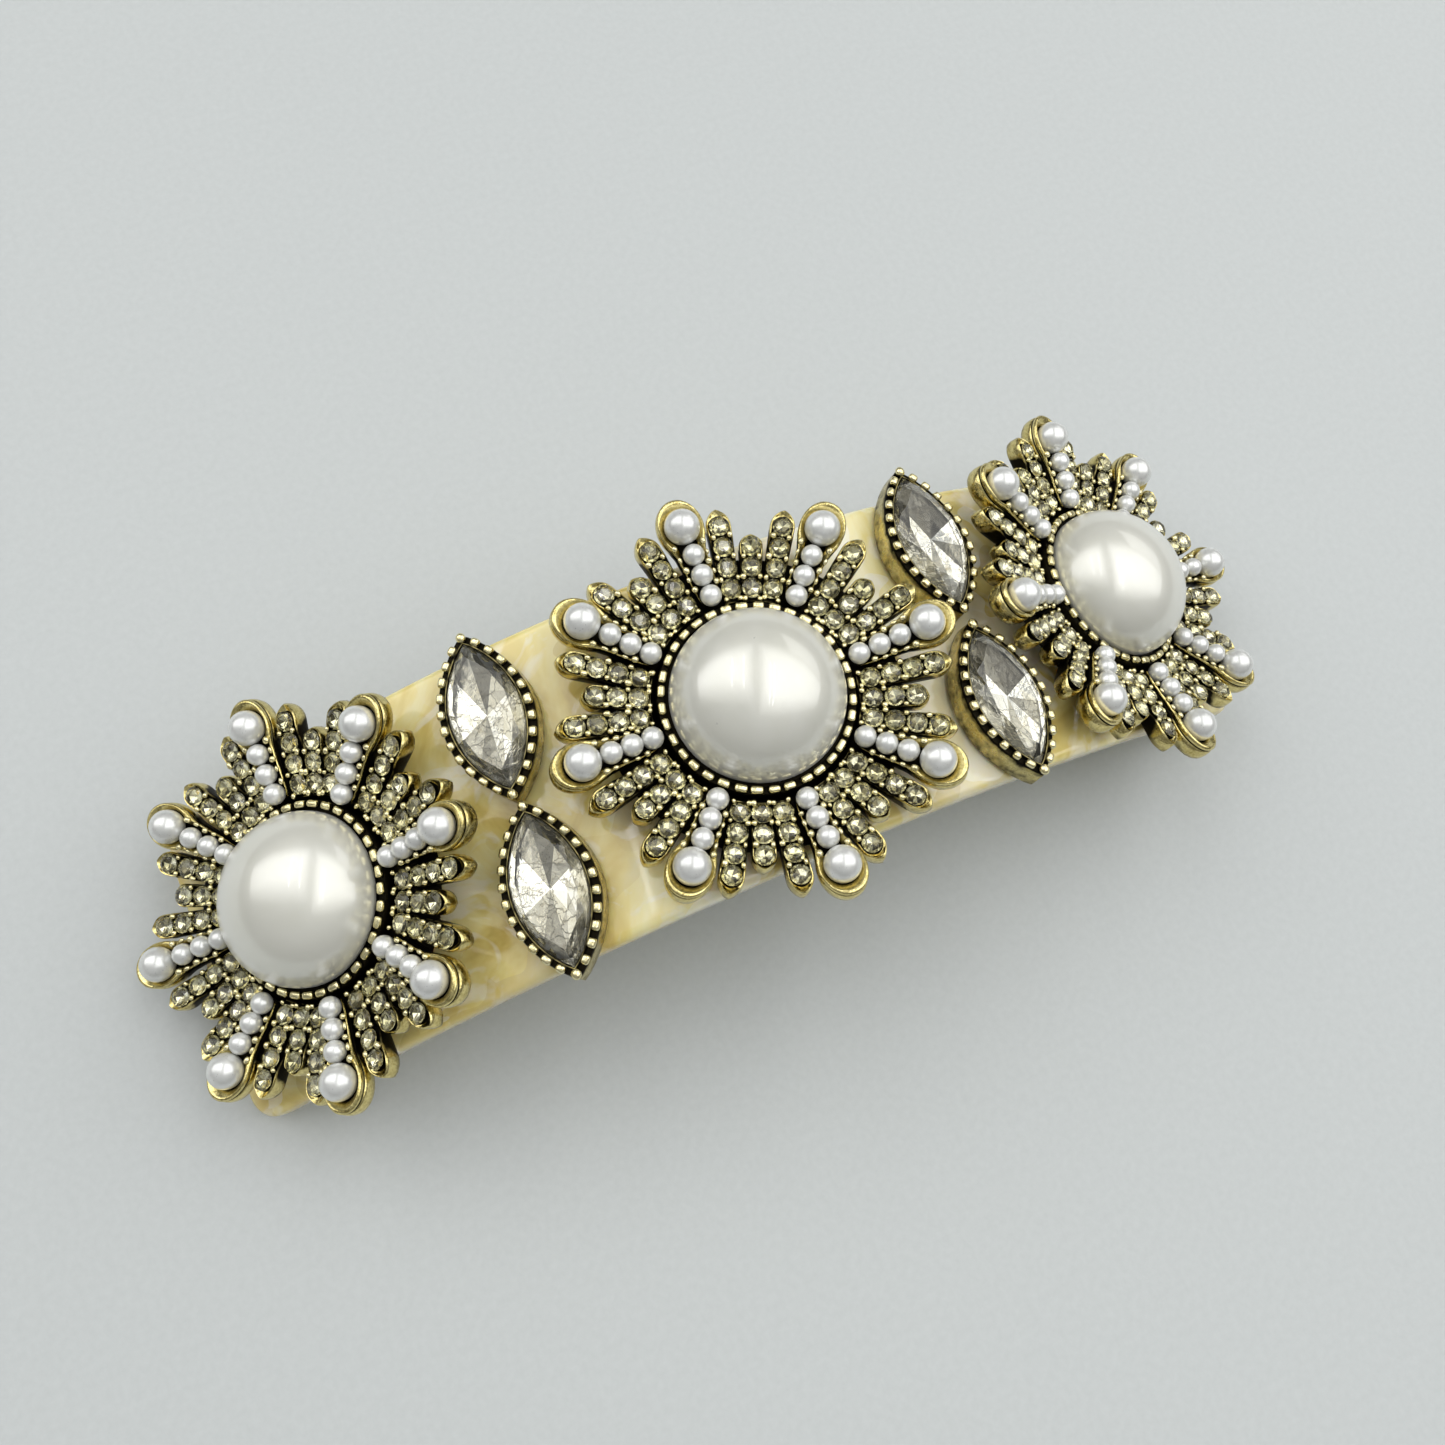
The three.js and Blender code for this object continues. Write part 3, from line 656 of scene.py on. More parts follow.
def stone_ray_outlines(last, tip):
    """Leaf-shaped ray along the slope: straight sides, then an ogive nose round the last stone."""
    wx = [-1.2, 0.0, 1.75, 3.5, 5.4]
    wy = [0.76, 0.85, 0.94, 1.01, 1.06]
    up = []
    for x in np.linspace(-1.2, last, 14):
        w = float(np.interp(x, wx, wy))
        up.append((x, w, x, min(w - 0.1, 0.9)))
    wm = up[-1][1]
    for i in range(1, 13):
        u = i / 12
        w = wm * (1 - u**2.0) ** 0.72 if i < 12 else 0.0
        a = u * math.pi / 2
        up.append((last + (tip - last) * u ** 0.95, w, last + 0.9 * math.sin(a), 0.9 * math.cos(a) if i < 12 else 0.0))
    return two_outlines(up)


def pearl_ray_outlines():
    wx = [-0.55, 0.5, 1.5, 2.8, 3.9, 4.6, 5.2, 5.8, 6.2]
    wy = [0.80, 1.02, 1.12, 1.2, 1.34, 1.58, 1.80, 1.92, 1.95]
    big = PEARL_STEPS[3]
    up = []
    for x in np.linspace(-0.55, 6.1, 22):
        d = 1.37**2 - (x - big) ** 2
        up.append((x, float(np.interp(x, wx, wy)), x, max(0.76, math.sqrt(d)) if d > 0 else 0.76))
    for i in range(1, 14):
        a = i / 13 * math.pi / 2
        c = math.cos(a) if i < 13 else 0.0
        up.append((6.1 + 2.43 * math.sin(a), 1.95 * c**0.95 if c else 0.0, big + 1.37 * math.sin(a), 1.37 * c))
    return two_outlines(up)


def ray_body(outer, inner, levels, crest):
    """Loft between the outer and inner outlines. A level is (mode, amount, z, follows crest)."""
    rings = []
    zc = np.array([crest(x) for x, _ in outer])
    for mode, amount, z, rel in levels:
        if mode == "inset":
            q = inset(outer, amount) if amount else outer
        else:
            q = outer + (inner - outer) * amount
        rings.append(np.column_stack([q, (zc if rel else 0) + np.full(len(q), z)]))
    return loft(rings)


def bead(piece, at, r, place, stretch=1.0, patina=0.0):
    """A hand-finished grain: a slightly uneven ball."""
    v, f = ico(2)
    k = 1 + rng.normal(0, 0.07, 3)
    v = v * np.array([r * stretch * k[0], r * k[1], r * 0.9 * k[2]]) + np.array(at)
    piece.add(v, f, place=place, mat=1, patina=patina)


def casting_piece():
    p = Piece()
    # hub with the stone channel and the collar's base ring
    profile = [
        (0, 0.45), (5.9, 0.45), (6.1, 0.5), (6.5, 0.8), (10.35, 0.88), (10.55, 1.0), (10.58, 1.2),
        (10.55, 1.7), (10.4, 1.86), (10.2, 1.86), (10.05, 1.7), (9.95, 1.25), (8.6, 1.22), (8.3, 1.35),
        (8.16, 1.7), (8.13, 2.5), (8.06, 2.6), (7.5, 2.6), (7.45, 2.55), (7.44, 2.25), (0, 2.25),
    ]
    v, f = lathe(profile, 96)
    # patina and painted shade: the hub black beyond the dome's edge above, darker low down, part dark under the dome
    patina_and_shade_by_vertex = [1.0 if (math.hypot(a, b) > 6.3 and c > 1.0) else (0.75 if math.hypot(a, b) > 6.3 else 0.4) for a, b, c in v]
    p.add(v, f, patina=patina_and_shade_by_vertex)
    # the ring under the stone rows, dark all over (patina and painted shade)
    v, f = lathe([(10.3, 0.95), (12.2, 1.02), (12.45, 1.1), (12.5, 1.22), (12.4, 1.33), (10.3, 1.3)], 96, closed=True)
    p.add(v, f, patina=1.0)
    # milgrain collar: rounded blocks, their lower halves painted near black for the gaps between them (patina and
    # painted shade)
    nseg = 36
    for i in range(nseg):
        a = (i + 0.5) * 2 * math.pi / nseg + rng.normal(0, 0.006)
        v, f = rounded_box(0.62 + rng.normal(0, 0.015), 1.0 + rng.normal(0, 0.04), 0.62, 0.21, 3)
        place = place_of(
            (math.cos(a), math.sin(a), 0), (-math.sin(a), math.cos(a), 0), (0, 0, 1),
            (COLLAR_R * math.cos(a), COLLAR_R * math.sin(a), 2.74 + rng.normal(0, 0.012)),
        )
        p.add(v, f, mat=1, patina=[0.0 if q[2] > -0.02 else 0.85 for q in v], place=place)
    # stone rays
    cs = math.cos(STONE_SLOPE * DEG)
    levels = [
        ("inset", 0.30, -1.75, 0), ("inset", 0.12, -1.64, 0), ("inset", 0.03, -1.3, 0), ("inset", 0.0, -0.8, 0),
        ("inset", 0.0, -0.24, 1), ("inset", 0.035, -0.08, 1), ("inset", 0.09, -0.01, 1), ("inset", 0.15, -0.03, 1),
        ("mix", 0.62, -0.15, 1), ("mix", 1.0, -0.17, 1), ("mix", 1.0, -0.62, 0),
    ]
    for k in range(8):
        for off, rs, tip in ((LONG_OFF, LONG, 16.38), (SHORT_OFF, SHORT, 14.12), (45 - LONG_OFF, LONG, 16.38)):
            place = ray_place(STONE_R0, STONE_H0, STONE_SLOPE, k * 45 + off)
            last = (rs[-1] - STONE_R0) / cs
            end = (tip - STONE_R0) / cs
            outer, inner = stone_ray_outlines(last, end)
            crest = lambda x: -0.40 + 0.38 * smooth(last - 2.3, last - 0.6, x) - 0.22 * smooth(last + 0.5, end, x)
            v, f = ray_body(outer, inner, levels, crest)
            n = len(outer)
            nl = len(levels)
            start, stop = last - 1.4, last + 0.4
            # patina and painted shade: walls and floor dark, blackest towards the root and low down, the crest bright
            # towards the nose
            patina_and_shade_by_vertex = []
            for q in range(len(v)):
                lvl = q // n
                side = 1 - smooth(start, stop, v[q][0])
                if lvl >= nl:
                    patina_and_shade_by_vertex.append(0.9)
                elif lvl in (5, 6, 7):
                    patina_and_shade_by_vertex.append(0.62 * side)
                elif lvl in (8, 9):
                    patina_and_shade_by_vertex.append(0.24 + 0.48 * side)
                elif lvl == 10:
                    patina_and_shade_by_vertex.append(0.72)
                else:
                    patina_and_shade_by_vertex.append(min(1.0, 1.0 * side + 0.12 + 0.36 * smooth(-0.4, -1.5, v[q][2])))
            p.add(v, f, patina=patina_and_shade_by_vertex, place=place)
            # grains at each joint between stones, and at the row's root
            for i, r in enumerate(rs):
                x = (r - STONE_R0) / cs
                if i == 0:
                    xj, yj = x - 0.92, 0.60
                else:
                    xj, yj = (x + (rs[i - 1] - STONE_R0) / cs) / 2, 0.70
                for sgn in (-1, 1):
                    at = (xj + rng.normal(0, 0.04), sgn * (yj + rng.normal(0, 0.03)), 0.10 + rng.normal(0, 0.03))
                    bead(p, at, 0.25 + rng.normal(0, 0.022), place, 1.0 + abs(rng.normal(0, 0.14)))
                    # a dark stem under each grain (patina and painted shade)
                    v, f = lathe([(0, -0.9), (0.18, -0.9), (0.18, 0.0), (0, 0.02)], 8)
                    p.add(v + np.array([at[0], at[1], 0]), f, patina=0.8, place=place)
    # pearl rays: spoon-shaped cups with grains beside the small pearls
    outer, inner = pearl_ray_outlines()
    levels = [
        ("inset", 0.75, -2.45, 0), ("inset", 0.36, -2.36, 0), ("inset", 0.12, -2.02, 0), ("inset", 0.0, -1.5, 0),
        ("inset", 0.0, -1.06, 0), ("inset", 0.035, -0.92, 0), ("inset", 0.10, -0.86, 0), ("inset", 0.10, -0.78, 0),
        ("inset", 0.03, -0.68, 0), ("inset", 0.01, -0.18, 1), ("mix", 0.12, -0.04, 1), ("mix", 0.26, 0.0, 1), ("mix", 0.38, -0.05, 1),
        ("mix", 0.62, -0.18, 1), ("mix", 0.84, -0.32, 1), ("mix", 1.0, -0.50, 1), ("mix", 1.0, -1.5, 0),
    ]
    n, nl = len(outer), len(levels)
    crest = lambda x: -0.46 + 0.20 * smooth(3.4, 5.0, x) - 0.06 * smooth(7.0, 8.6, x)
    for k in range(8):
        place = ray_place(PEARL_R0, PEARL_H0, PEARL_SLOPE, k * 45)
        v, f = ray_body(outer, inner, levels, crest)
        # patina and painted shade: walls black towards the root and low down, a dark groove under the lip, the lip and
        # the saucer bright
        patina_and_shade_by_vertex = []
        for q in range(len(v)):
            lvl = q // n
            side = 1 - smooth(3.2, 5.4, v[q][0])
            if lvl >= nl:
                patina_and_shade_by_vertex.append(1.0)
            elif lvl in (6, 7):
                patina_and_shade_by_vertex.append(0.85)
            elif lvl in (8, 9):
                patina_and_shade_by_vertex.append(0.1 + 0.35 * side)
            elif lvl in (10, 11, 12, 13):
                patina_and_shade_by_vertex.append(0.0 + 0.1 * side)
            elif lvl == 14:
                patina_and_shade_by_vertex.append(0.12 + 0.2 * side)
            elif lvl == 15:
                patina_and_shade_by_vertex.append(0.4)
            elif lvl == 16:
                patina_and_shade_by_vertex.append(1.0)
            else:
                patina_and_shade_by_vertex.append(min(1.0, 1.0 * side + 0.12 + 0.36 * smooth(-1.0, -2.2, v[q][2])))
        p.add(v, f, patina=patina_and_shade_by_vertex, place=place)
        for sgn in (-1, 1):
            for x, y, r, st in ((0.92, 0.96, 0.26, 1.1), (1.8, 1.10, 0.17, 1.7), (2.72, 1.02, 0.28, 1.1), (3.6, 1.20, 0.18, 1.7), (4.52, 1.22, 0.30, 1.15)):
                at = (x + rng.normal(0, 0.05), sgn * (y + rng.normal(0, 0.02)), -0.22 + rng.normal(0, 0.03))
                bead(p, at, r + rng.normal(0, 0.012), place, st)
    return p


def stone_piece():
    """Round stones: flat table, kite crown, and a pointed foil back."""
    p = Piece()

    def chaton(place, R, spin, dz):
        a8 = [(k + 0.5) * math.pi / 4 + spin for k in range(8)]
        a16 = [k * math.pi / 8 + spin for k in range(16)]
        t = [[0.56 * R * math.cos(a), 0.56 * R * math.sin(a), 0.36] for a in a8]
        mid = [[0.80 * R * math.cos(k * math.pi / 4 + spin), 0.80 * R * math.sin(k * math.pi / 4 + spin), 0.225] for k in range(8)]
        g1 = [[R * math.cos(a), R * math.sin(a), 0.07] for a in a16]
        g0 = [[R * math.cos(a), R * math.sin(a), -0.02] for a in a16]
        pv = [[0.60 * R * math.cos(k * math.pi / 4 + spin), 0.60 * R * math.sin(k * math.pi / 4 + spin), -0.28] for k in range(8)]
        cu = [[0, 0, -0.40]]
        v = np.array(t + mid + g1 + g0 + pv + cu) + np.array([0, 0, dz])
        T, M, G, H, P, C = 0, 8, 16, 32, 48, 56
        f, mat, tone_and_glint = [], [], []
        tone = float(np.clip(rng.normal(0.5, 0.22), 0, 1))

        def face(idx, m=0):
            f.append(tuple(idx))
            mat.append(m)
            # crown facets carry the stone's own tone; foil facets get a random painted glint or dark reflection
            tone_and_glint.append(tone if m == 0 else float(rng.choice((0.05, 0.35, 0.7, 1.0), p=(0.27, 0.10, 0.12, 0.51))))

        face([T + i for i in range(8)])
        for k in range(8):
            # table vertex k lies between mid k and mid k+1
            k1 = (k + 1) % 8
            face([M + k, T + k, T + (k - 1) % 8])  # star
            g = (2 * k) % 16
            # kite between mid k and mid k+1 around table vertex k
            face([T + k, M + k, G + (2 * k + 1) % 16, M + k1])
            face([M + k, G + g, G + (2 * k + 1) % 16])
            face([M + k, G + (g - 1) % 16, G + g])
        for i in range(16):
            j = (i + 1) % 16
            face([G + i, H + i, H + j, G + j])
        for k in range(8):
            k1 = (k + 1) % 8
            g = 2 * k
            face([H + g, P + k, H + (g + 1) % 16], 1)
            face([H + (g + 1) % 16, P + k, P + k1], 1)
            face([H + (g + 1) % 16, P + k1, H + (g + 2) % 16], 1)
            face([C, P + k1, P + k], 1)
        p.add(v, f, mat=mat, smooth=False, tone_and_glint=tone_and_glint, place=place)

    for k in range(8):
        for off, rs in ((LONG_OFF, LONG), (SHORT_OFF, SHORT), (45 - LONG_OFF, LONG)):
            place = ray_place(STONE_R0, STONE_H0, STONE_SLOPE, k * 45 + off)
            for r in rs:
                x = (r - STONE_R0) / math.cos(STONE_SLOPE * DEG)
                tilt = turn_about((1, 0, 0), rng.normal(0, 2.2) * DEG) @ turn_about((0, 1, 0), rng.normal(0, 2.2) * DEG)
                local = np.eye(4)
                local[:3, :3] = tilt
                local[:3, 3] = [x, 0, 0]
                chaton(place @ local, STONE_R - 0.01 + rng.normal(0, 0.008), rng.uniform(0, 6.28), 0.0)
    return p


def fix_normals(ob, parts=False):
    bm = bmesh.new()
    bm.from_mesh(ob.data)
    bmesh.ops.recalc_face_normals(bm, faces=bm.faces)
    bm.to_mesh(ob.data)
    bm.free()


def dome_piece():
    R, base, belt, top = 7.2, 2.42, 3.0, 8.885
    prof = [(0, base), (R - 0.35, base), (R - 0.12, base + 0.06), (R - 0.02, base + 0.2)]
    for i in range(0, 41):
        a = i * math.pi / 80
        prof.append((R * math.cos(a), belt + (top - belt) * math.sin(a)))
    prof[-1] = (0, top)
    v, f = lathe(prof, 96)
    p = Piece()
    p.add(v, f)
    return p


for name, s, y, turn, roll, pitch in FLOWERS:
    m = seat(s, y, roll, pitch, turn)
    ob = casting_piece().make("flower_cast_" + name, [GOLD, GOLD_BEAD], m, sharp=50)
    fix_normals(ob)
    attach(ob, "barrette_body")
    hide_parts("flower_casting_" + name)
    ob = dome_piece().make("dome_" + name, [PEARL_DOME], m)
    fix_normals(ob)
    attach(ob, "barrette_body")
    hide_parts("pearl_dome_" + name)
    ob = stone_piece().make("stones_" + name, [SMOKY_GLASS, SMOKY_FOIL], m)
    fix_normals(ob)
    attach(ob, "barrette_body")
    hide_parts("pave_stones_" + name)
    for k in range(8):
        place = ray_place(PEARL_R0, PEARL_H0, PEARL_SLOPE, k * 45)
        p = Piece()
        for i, x in enumerate(PEARL_STEPS):
            r = SMALL_R if i < 3 else BIG_R
            jig = rng.normal(0, 0.012, 3)
            ball(p, np.array([x, 0, 0]) + jig, r * (1 + rng.normal(0, 0.004)), 4 if i < 3 else 5, place=place)
        ob = p.make(f"pearls_{name}_{k + 1}", [PEARL_SMALL], m)
        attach(ob, "barrette_body")
        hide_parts(f"pearl_row_{name}_{k + 1}")

# ------------------------------------------------------------------ navettes
SETTING_A, SETTING_B = 7.4, 4.0
CRYSTAL_A, CRYSTAL_B = 6.36, 3.07


def navette_point(a, b, side, u):
    """Point on one side of the pointed oval: u runs from 1 at the first tip to -1 at the other."""
    rho = (a * a + b * b) / (2 * b)
    x = rho * math.sin(math.asin(a / rho) * u)
    return [side * x, side * b * max(0.0, 1 - (x / a) ** 2) ** 0.87]


def navette(a, b, steps):
    """Pointed oval with slightly full tips, counter-clockwise."""
    return np.array([navette_point(a, b, side, 1 - 2 * i / steps) for side in (1, -1) for i in range(steps)])


def setting_piece():
    p = Piece()
    n = 26
    # wall: two levels of outline, slightly narrower at the foot, ending in the bead shelf
    rings = []
    for a, b, z in (
        (7.30, 3.93, 0.35), (7.37, 3.98, 0.5), (7.37, 3.98, 1.0), (7.33, 3.95, 1.9), (7.33, 3.95, 2.4), (7.24, 3.88, 2.56),
        (6.64, 3.32, 2.58), (6.50, 3.2, 2.56), (6.46, 3.16, 2.3), (6.40, 3.1, 1.0),
    ):
        o = navette(a, b, n)
        rings.append(np.column_stack([o, np.full(len(o), z)]))
    v, f = loft(rings)
    m = len(rings[0])
    # patina and painted shade: the outer wall part dark, the shelf and the inner wall black
    patina_and_shade_by_vertex = []
    for q in range(len(v)):
        lvl = min(q // m, 9)
        if q >= m * 10:
            patina_and_shade_by_vertex.append(0.6)
        elif lvl <= 2:
            patina_and_shade_by_vertex.append(0.60 - 0.06 * lvl)
        elif lvl in (3,):
            patina_and_shade_by_vertex.append(0.42)
        elif lvl == 4:
            patina_and_shade_by_vertex.append(0.6)
        else:
            patina_and_shade_by_vertex.append(1.0)
    p.add(v, f, patina=patina_and_shade_by_vertex)
    # inner bezel line round the stone, dark but for its top (patina and painted shade)
    rings = []
    for a, b, z in ((6.58, 3.27, 2.3), (6.58, 3.27, 2.82), (6.53, 3.23, 2.89), (6.46, 3.17, 2.89), (6.41, 3.12, 2.82), (6.41, 3.12, 2.3)):
        o = navette(a, b, n)
        rings.append(np.column_stack([o, np.full(len(o), z)]))
    k = len(rings[0])
    v = np.concatenate(rings)
    f = []
    for r in range(6):
        r1 = (r + 1) % 6
        for i in range(k):
            j = (i + 1) % k
            f.append((r * k + i, r * k + j, r1 * k + j, r1 * k + i))
    p.add(v, f, patina=[0.55 if q // k in (2, 3) else 0.9 for q in range(len(v))])
    # grain rim: a round grain on each tip and eleven blocks along each side, their lower parts painted dark for the
    # black between them (patina and painted shade)
    for side in (1, -1):
        for i in range(12):
            u = 1 - i / 6
            c = np.array(navette_point(7.0, 3.64, side, u))
            if i == 0:
                v, f = ico(3)
                v = v * np.array([0.46, 0.42, 0.36]) * (1 + rng.normal(0, 0.03)) + np.array([c[0] - 0.06 * side, 0, 2.9])
                p.add(v, f, mat=1, patina=[0.0 if q[2] > 2.85 else 0.7 for q in v])
                continue
            tang = np.array(navette_point(7.0, 3.64, side, u - 0.02)) - np.array(navette_point(7.0, 3.64, side, u + 0.02))
            tang = tang / np.linalg.norm(tang)
            nrm = np.array([-tang[1], tang[0]])
            v, f = rounded_box(0.84 + rng.normal(0, 0.04), 0.68 + rng.normal(0, 0.02), 0.66, 0.25, 3)
            place = place_of((tang[0], tang[1], 0), (nrm[0], nrm[1], 0), (0, 0, 1), (c[0], c[1], 2.87 + rng.normal(0, 0.015)))
            p.add(v, f, mat=1, patina=[0.0 if q[2] > 0.0 else 0.75 for q in v], place=place)
    return p


def crystal_piece(star, lean):
    """Pointed oval stone: long table, crown facets, and a foil back whose facets meet in a point."""
    p = Piece()
    n = 5  # facets along each side
    m2 = 2 * n

    def ring(scale_a, scale_b, z, shift=0.0, count=n):
        pts = []
        for side in (1, -1):
            for i in range(count):
                x, y = navette_point(CRYSTAL_A, CRYSTAL_B, side, 1 - 2 * (i + shift) / count)
                pts.append([x * scale_a, y * scale_b, z])
        return pts

    g1 = ring(1.0, 1.0, 2.84, 0.0, m2)
    g0 = ring(1.0, 1.0, 2.66, 0.0, m2)
    mid = ring(0.915, 0.90, 3.40, 0.5, n)
    tab = ring(0.79, 0.77, 3.86, 0.0, n)
    v = g1 + g0 + mid + tab
    G, H, M, T = 0, 2 * m2, 4 * m2, 4 * m2 + m2
    f, mat, tone_and_glint = [], [], []

    def face(idx, m=0, t=0.5):
        f.append(tuple(idx))
        mat.append(m)
        tone_and_glint.append(t)

    face([T + i for i in range(m2)])
    for k in range(m2):
        k1 = (k + 1) % m2
        a, b, c = (2 * k) % (2 * m2), (2 * k + 1) % (2 * m2), (2 * k + 2) % (2 * m2)
        face([G + a, G + b, M + k])
        face([G + b, G + c, M + k])
        face([M + k, T + k1, T + k])
        face([G + c, M + k1, T + k1, M + k])
    for i in range(2 * m2):
        j = (i + 1) % (2 * m2)
        face([G + i, H + i, H + j, G + j])
    # the back: a steep rim, then a shallow star of long facets that meet in the middle
    B = len(v)
    v = v + ring(0.86, 0.84, 2.12, 0.0, n)
    J = len(v)
    v = v + [[x, y, 1.98 + float(rng.normal(0, 0.025))] for x, y, _ in ring(0.46, 0.44, 0, 0.0, n)]
    C = len(v)
    v = v + [[0, 0, 1.80]]
    for q in v[B:]:
        q[2] -= lean[0] * q[0] + lean[1] * q[1]
    for k in range(m2):
        k1 = (k + 1) % m2
        a, b, c = (2 * k) % (2 * m2), (2 * k + 1) % (2 * m2), (2 * k + 2) % (2 * m2)
        # foil facets: random painted glints and dark reflections on the rim, and on the star from the given table of
        # painted reflections
        face([H + a, B + k, H + b], 1, float(rng.choice((0.15, 0.6, 1.0), p=(0.2, 0.25, 0.55))))
        face([H + b, B + k, B + k1], 1, float(rng.choice((0.15, 0.6, 1.0), p=(0.2, 0.25, 0.55))))
        face([H + b, B + k1, H + c], 1, float(rng.choice((0.15, 0.6, 1.0), p=(0.2, 0.25, 0.55))))
        face([B + k, J + k, J + k1], 1, star[k] * float(rng.uniform(0.6, 1.0)))
        face([B + k, J + k1, B + k1], 1, min(1.0, star[k] * float(rng.uniform(0.85, 1.3))))
        face([J + k, C, J + k1], 1, min(1.0, star[k] * float(rng.uniform(0.9, 1.15))))
    p.add(v, f, mat=mat, smooth=False, tone_and_glint=tone_and_glint)
    return p


# painted reflections: how bright the foil is painted behind each facet of the star, from the outer tip round
PAINTED_STAR_GLINTS = {
    "upper_left": (0.35, 1.0, 0.85, 0.35, 0.2, 0.7, 0.6, 0.7, 0.4, 0.1),
    "lower_left": (0.35, 1.0, 0.8, 0.35, 0.2, 0.5, 0.6, 0.95, 0.4, 0.14),
    "upper_right": (0.1, 0.9, 0.95, 1.0, 0.7, 0.95, 0.3, 1.0, 0.04, 0.06),
    "lower_right": (0.15, 0.95, 1.0, 0.85, 0.5, 0.85, 0.3, 1.0, 0.04, 0.06),
}
for name, s, y, direction in NAVETTES:
    m = seat(s, y, 0, 0, direction)
    ob = setting_piece().make("setting_" + name, [GOLD, GOLD_BEAD], m, sharp=45)
    fix_normals(ob)
    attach(ob, "barrette_body")
    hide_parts("navette_setting_" + name)
    ob = crystal_piece(PAINTED_STAR_GLINTS[name], (0.075, 0.0) if "left" in name else (0.0, 0.13)).make("crystal_" + name, [CLEAR_GLASS, CLEAR_FOIL], m)
    fix_normals(ob)
    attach(ob, "barrette_body")
    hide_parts("navette_crystal_" + name)

# ------------------------------------------------------------------ clip
def clip_detail(node_name, body, material, width=0.12, angle=32):
    """The CAD piece with its facets merged, its edges rounded and its arcs shaded smooth."""
    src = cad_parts[node_name]
    bm = bmesh.new()
    bm.from_mesh(src.data)
    bmesh.ops.remove_doubles(bm, verts=bm.verts, dist=2e-7)
    bmesh.ops.dissolve_limit(bm, angle_limit=1.0 * DEG, verts=bm.verts, edges=bm.edges)
    edges = [e for e in bm.edges if len(e.link_faces) == 2 and e.calc_face_angle(0) > angle * DEG]
    if width:
        bmesh.ops.bevel(
            bm, geom=edges, offset=width * MM, offset_type="OFFSET", segments=2, profile=0.6, affect="EDGES", clamp_overlap=True,
        )
    bmesh.ops.recalc_face_normals(bm, faces=bm.faces)
    for face in bm.faces:
        face.smooth = True
    me = bpy.data.meshes.new(node_name + "_detail")
    bm.to_mesh(me)
    bm.free()
    me.attributes.new("patina", "FLOAT", "POINT")
    me.materials.append(material)
    me.set_sharp_from_angle(angle=24 * DEG)
    ob = bpy.data.objects.new(node_name + "_detail", me)
    SCENE.collection.objects.link(ob)
    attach(ob, body)
    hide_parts(node_name)
    return ob


clip_detail("clip_base_strip", "barrette_body", CLIP_METAL)
clip_detail("clip_rivet_left", "barrette_body", CLIP_METAL, 0.08)
clip_detail("clip_rivet_right", "barrette_body", CLIP_METAL, 0.08)
clip_detail("clip_hinge_pin", "barrette_body", CLIP_METAL, 0.08, 50)
clip_detail("clip_catch_bracket", "barrette_body", CLIP_METAL, 0.06)
clip_detail("clip_tension_bow", "barrette_body", SPRING_METAL, 0.08)
clip_detail("clip_clasp_arm", "clasp_arm", CLIP_METAL)
clip_detail("clip_prong_front", "prong_front", SPRING_METAL, 0.06)
clip_detail("clip_prong_back", "prong_back", SPRING_METAL, 0.06)

# ------------------------------------------------------------------ floor
bm = bmesh.new()
bmesh.ops.create_grid(bm, x_segments=4, y_segments=4, size=6.0)
me = bpy.data.meshes.new("floor")
bm.to_mesh(me)
bm.free()
floor = bpy.data.objects.new("floor", me)
SCENE.collection.objects.link(floor)
m, nt, b = new_material("floor_grey")
fn = noise(nt, 1400, 3, 0.6)
nt.links.new(ramp(nt, fn, [(0.3, (0.545, 0.568, 0.562)), (0.7, (0.575, 0.598, 0.592))]), b.inputs["Base Color"])
b.inputs["Roughness"].default_value = 0.55
b.inputs["Specular IOR Level"].default_value = 0.3
bump(nt, fn, 0.15, 0.0001, b.inputs["Normal"])
me.materials.append(m)

# ------------------------------------------------------------------ camera
RM = np.array(Matrix.Rotation(math.sqrt(2.780357**2 + 0.567957**2 + 0.235176**2), 3, Vector((2.780357, -0.567957, 0.235176))))
TV = np.array([2.438257, -1.603745, 111.453655])
eye = (-RM.T @ TV + SHIFT) * MM
cam_data = bpy.data.cameras.new("camera")
cam_data.sensor_width = 36.0
cam_data.lens = 1350.089 * 36.0 / 1445.0
cam_data.clip_start, cam_data.clip_end = 0.005, 10.0
cam = bpy.data.objects.new("camera", cam_data)
SCENE.collection.objects.link(cam)
rot = Matrix(((RM[0][0], -RM[1][0], -RM[2][0]), (RM[0][1], -RM[1][1], -RM[2][1]), (RM[0][2], -RM[1][2], -RM[2][2])))
cam.matrix_world = Matrix.Translation(Vector(eye)) @ rot.to_4x4()
SCENE.camera = cam

# ------------------------------------------------------------------ light
RIGHT, UP, BACK = Vector(RM[0]), Vector(-RM[1]), Vector(-RM[2])
TARGET = Vector((0, 0, 0.02))


N0 = (UP * 0.423 + BACK * 0.906).normalized()
SKY_X, SKY_Y = RIGHT, N0.cross(RIGHT)
SKY_D = 0.9
PANELS = []


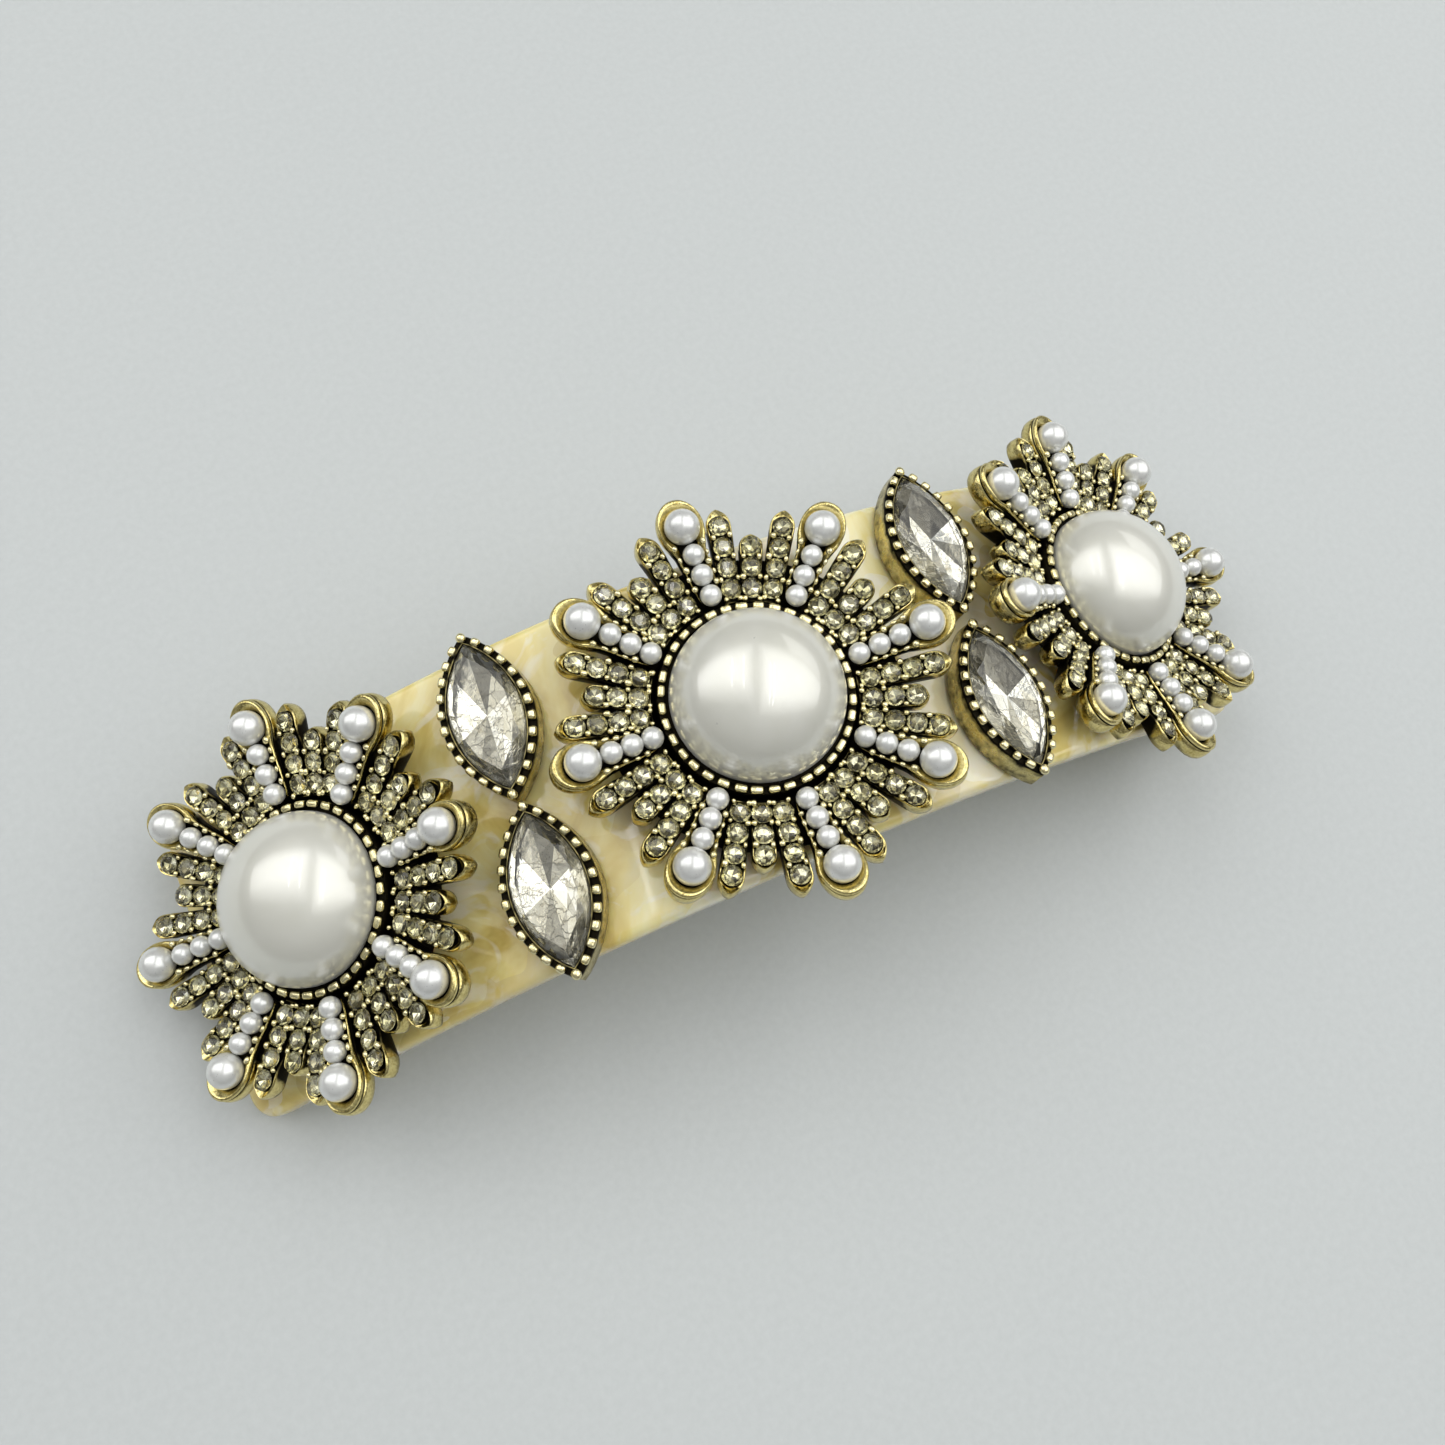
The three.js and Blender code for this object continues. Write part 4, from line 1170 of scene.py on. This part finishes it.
def panel(name, x0, x1, y0, y1, radiance, colour=(1, 1, 1)):
    """A soft panel in the plane over the table, its sides given as slopes from the part's middle."""
    data = bpy.data.lights.new(name, "AREA")
    data.shape = "RECTANGLE"
    data.size, data.size_y = (x1 - x0) * SKY_D, (y1 - y0) * SKY_D
    data.energy = radiance * math.pi * data.size * data.size_y
    data.color = colour
    ob = bpy.data.objects.new(name, data)
    SCENE.collection.objects.link(ob)
    ob.location = TARGET + (N0 + SKY_X * (x0 + x1) / 2 + SKY_Y * (y0 + y1) / 2) * SKY_D + N0 * 0.003 * len(PANELS)
    PANELS.append(ob)
    ob.rotation_mode = "QUATERNION"
    ob.rotation_quaternion = Matrix((SKY_X, SKY_Y, N0)).transposed().to_quaternion()
    return ob


for i, (x, y0, y1) in enumerate(((-0.44, -0.1, 0.55), (-0.2, -0.13, 0.55), (0.29, -0.48, 0.38), (0.37, -0.5, 0.36))):
    panel(f"panel_streak_{i}", x - 0.008, x + 0.008, y0, y1, 4.5)
for i, k in enumerate((0.0, 0.03, 0.06, 0.09, 0.12)):
    panel(f"panel_left_{i}", -2.6 + k, -0.02 - k * 0.9, -0.44 + k * 4.0, 0.99 - k * 2.4, 0.34)
    panel(f"panel_right_{i}", 0.09 + k * 0.9, 3.8 - k, -0.80 + k * 4.0, 0.99 - k * 2.4, 0.34)
panel("panel_side", 0.9, 3.8, 0.99, 2.3, 1.1)

world = bpy.data.worlds.new("world")
SCENE.world = world
world.use_nodes = True
wt = world.node_tree
tc = node(wt, "ShaderNodeTexCoord")
sep = node(wt, "ShaderNodeSeparateXYZ")
wt.links.new(tc.outputs["Generated"], sep.inputs[0])
sky = ramp(wt, sep.outputs[2], [(0.0, (0.17, 0.172, 0.17)), (0.2, (0.19, 0.193, 0.192)), (0.55, (0.30, 0.308, 0.31)), (1.0, (0.36, 0.372, 0.375))])
wt.links.new(sky, wt.nodes["Background"].inputs["Color"])
wt.nodes["Background"].inputs["Strength"].default_value = 1.0
SCENE.view_settings.view_transform = "Standard"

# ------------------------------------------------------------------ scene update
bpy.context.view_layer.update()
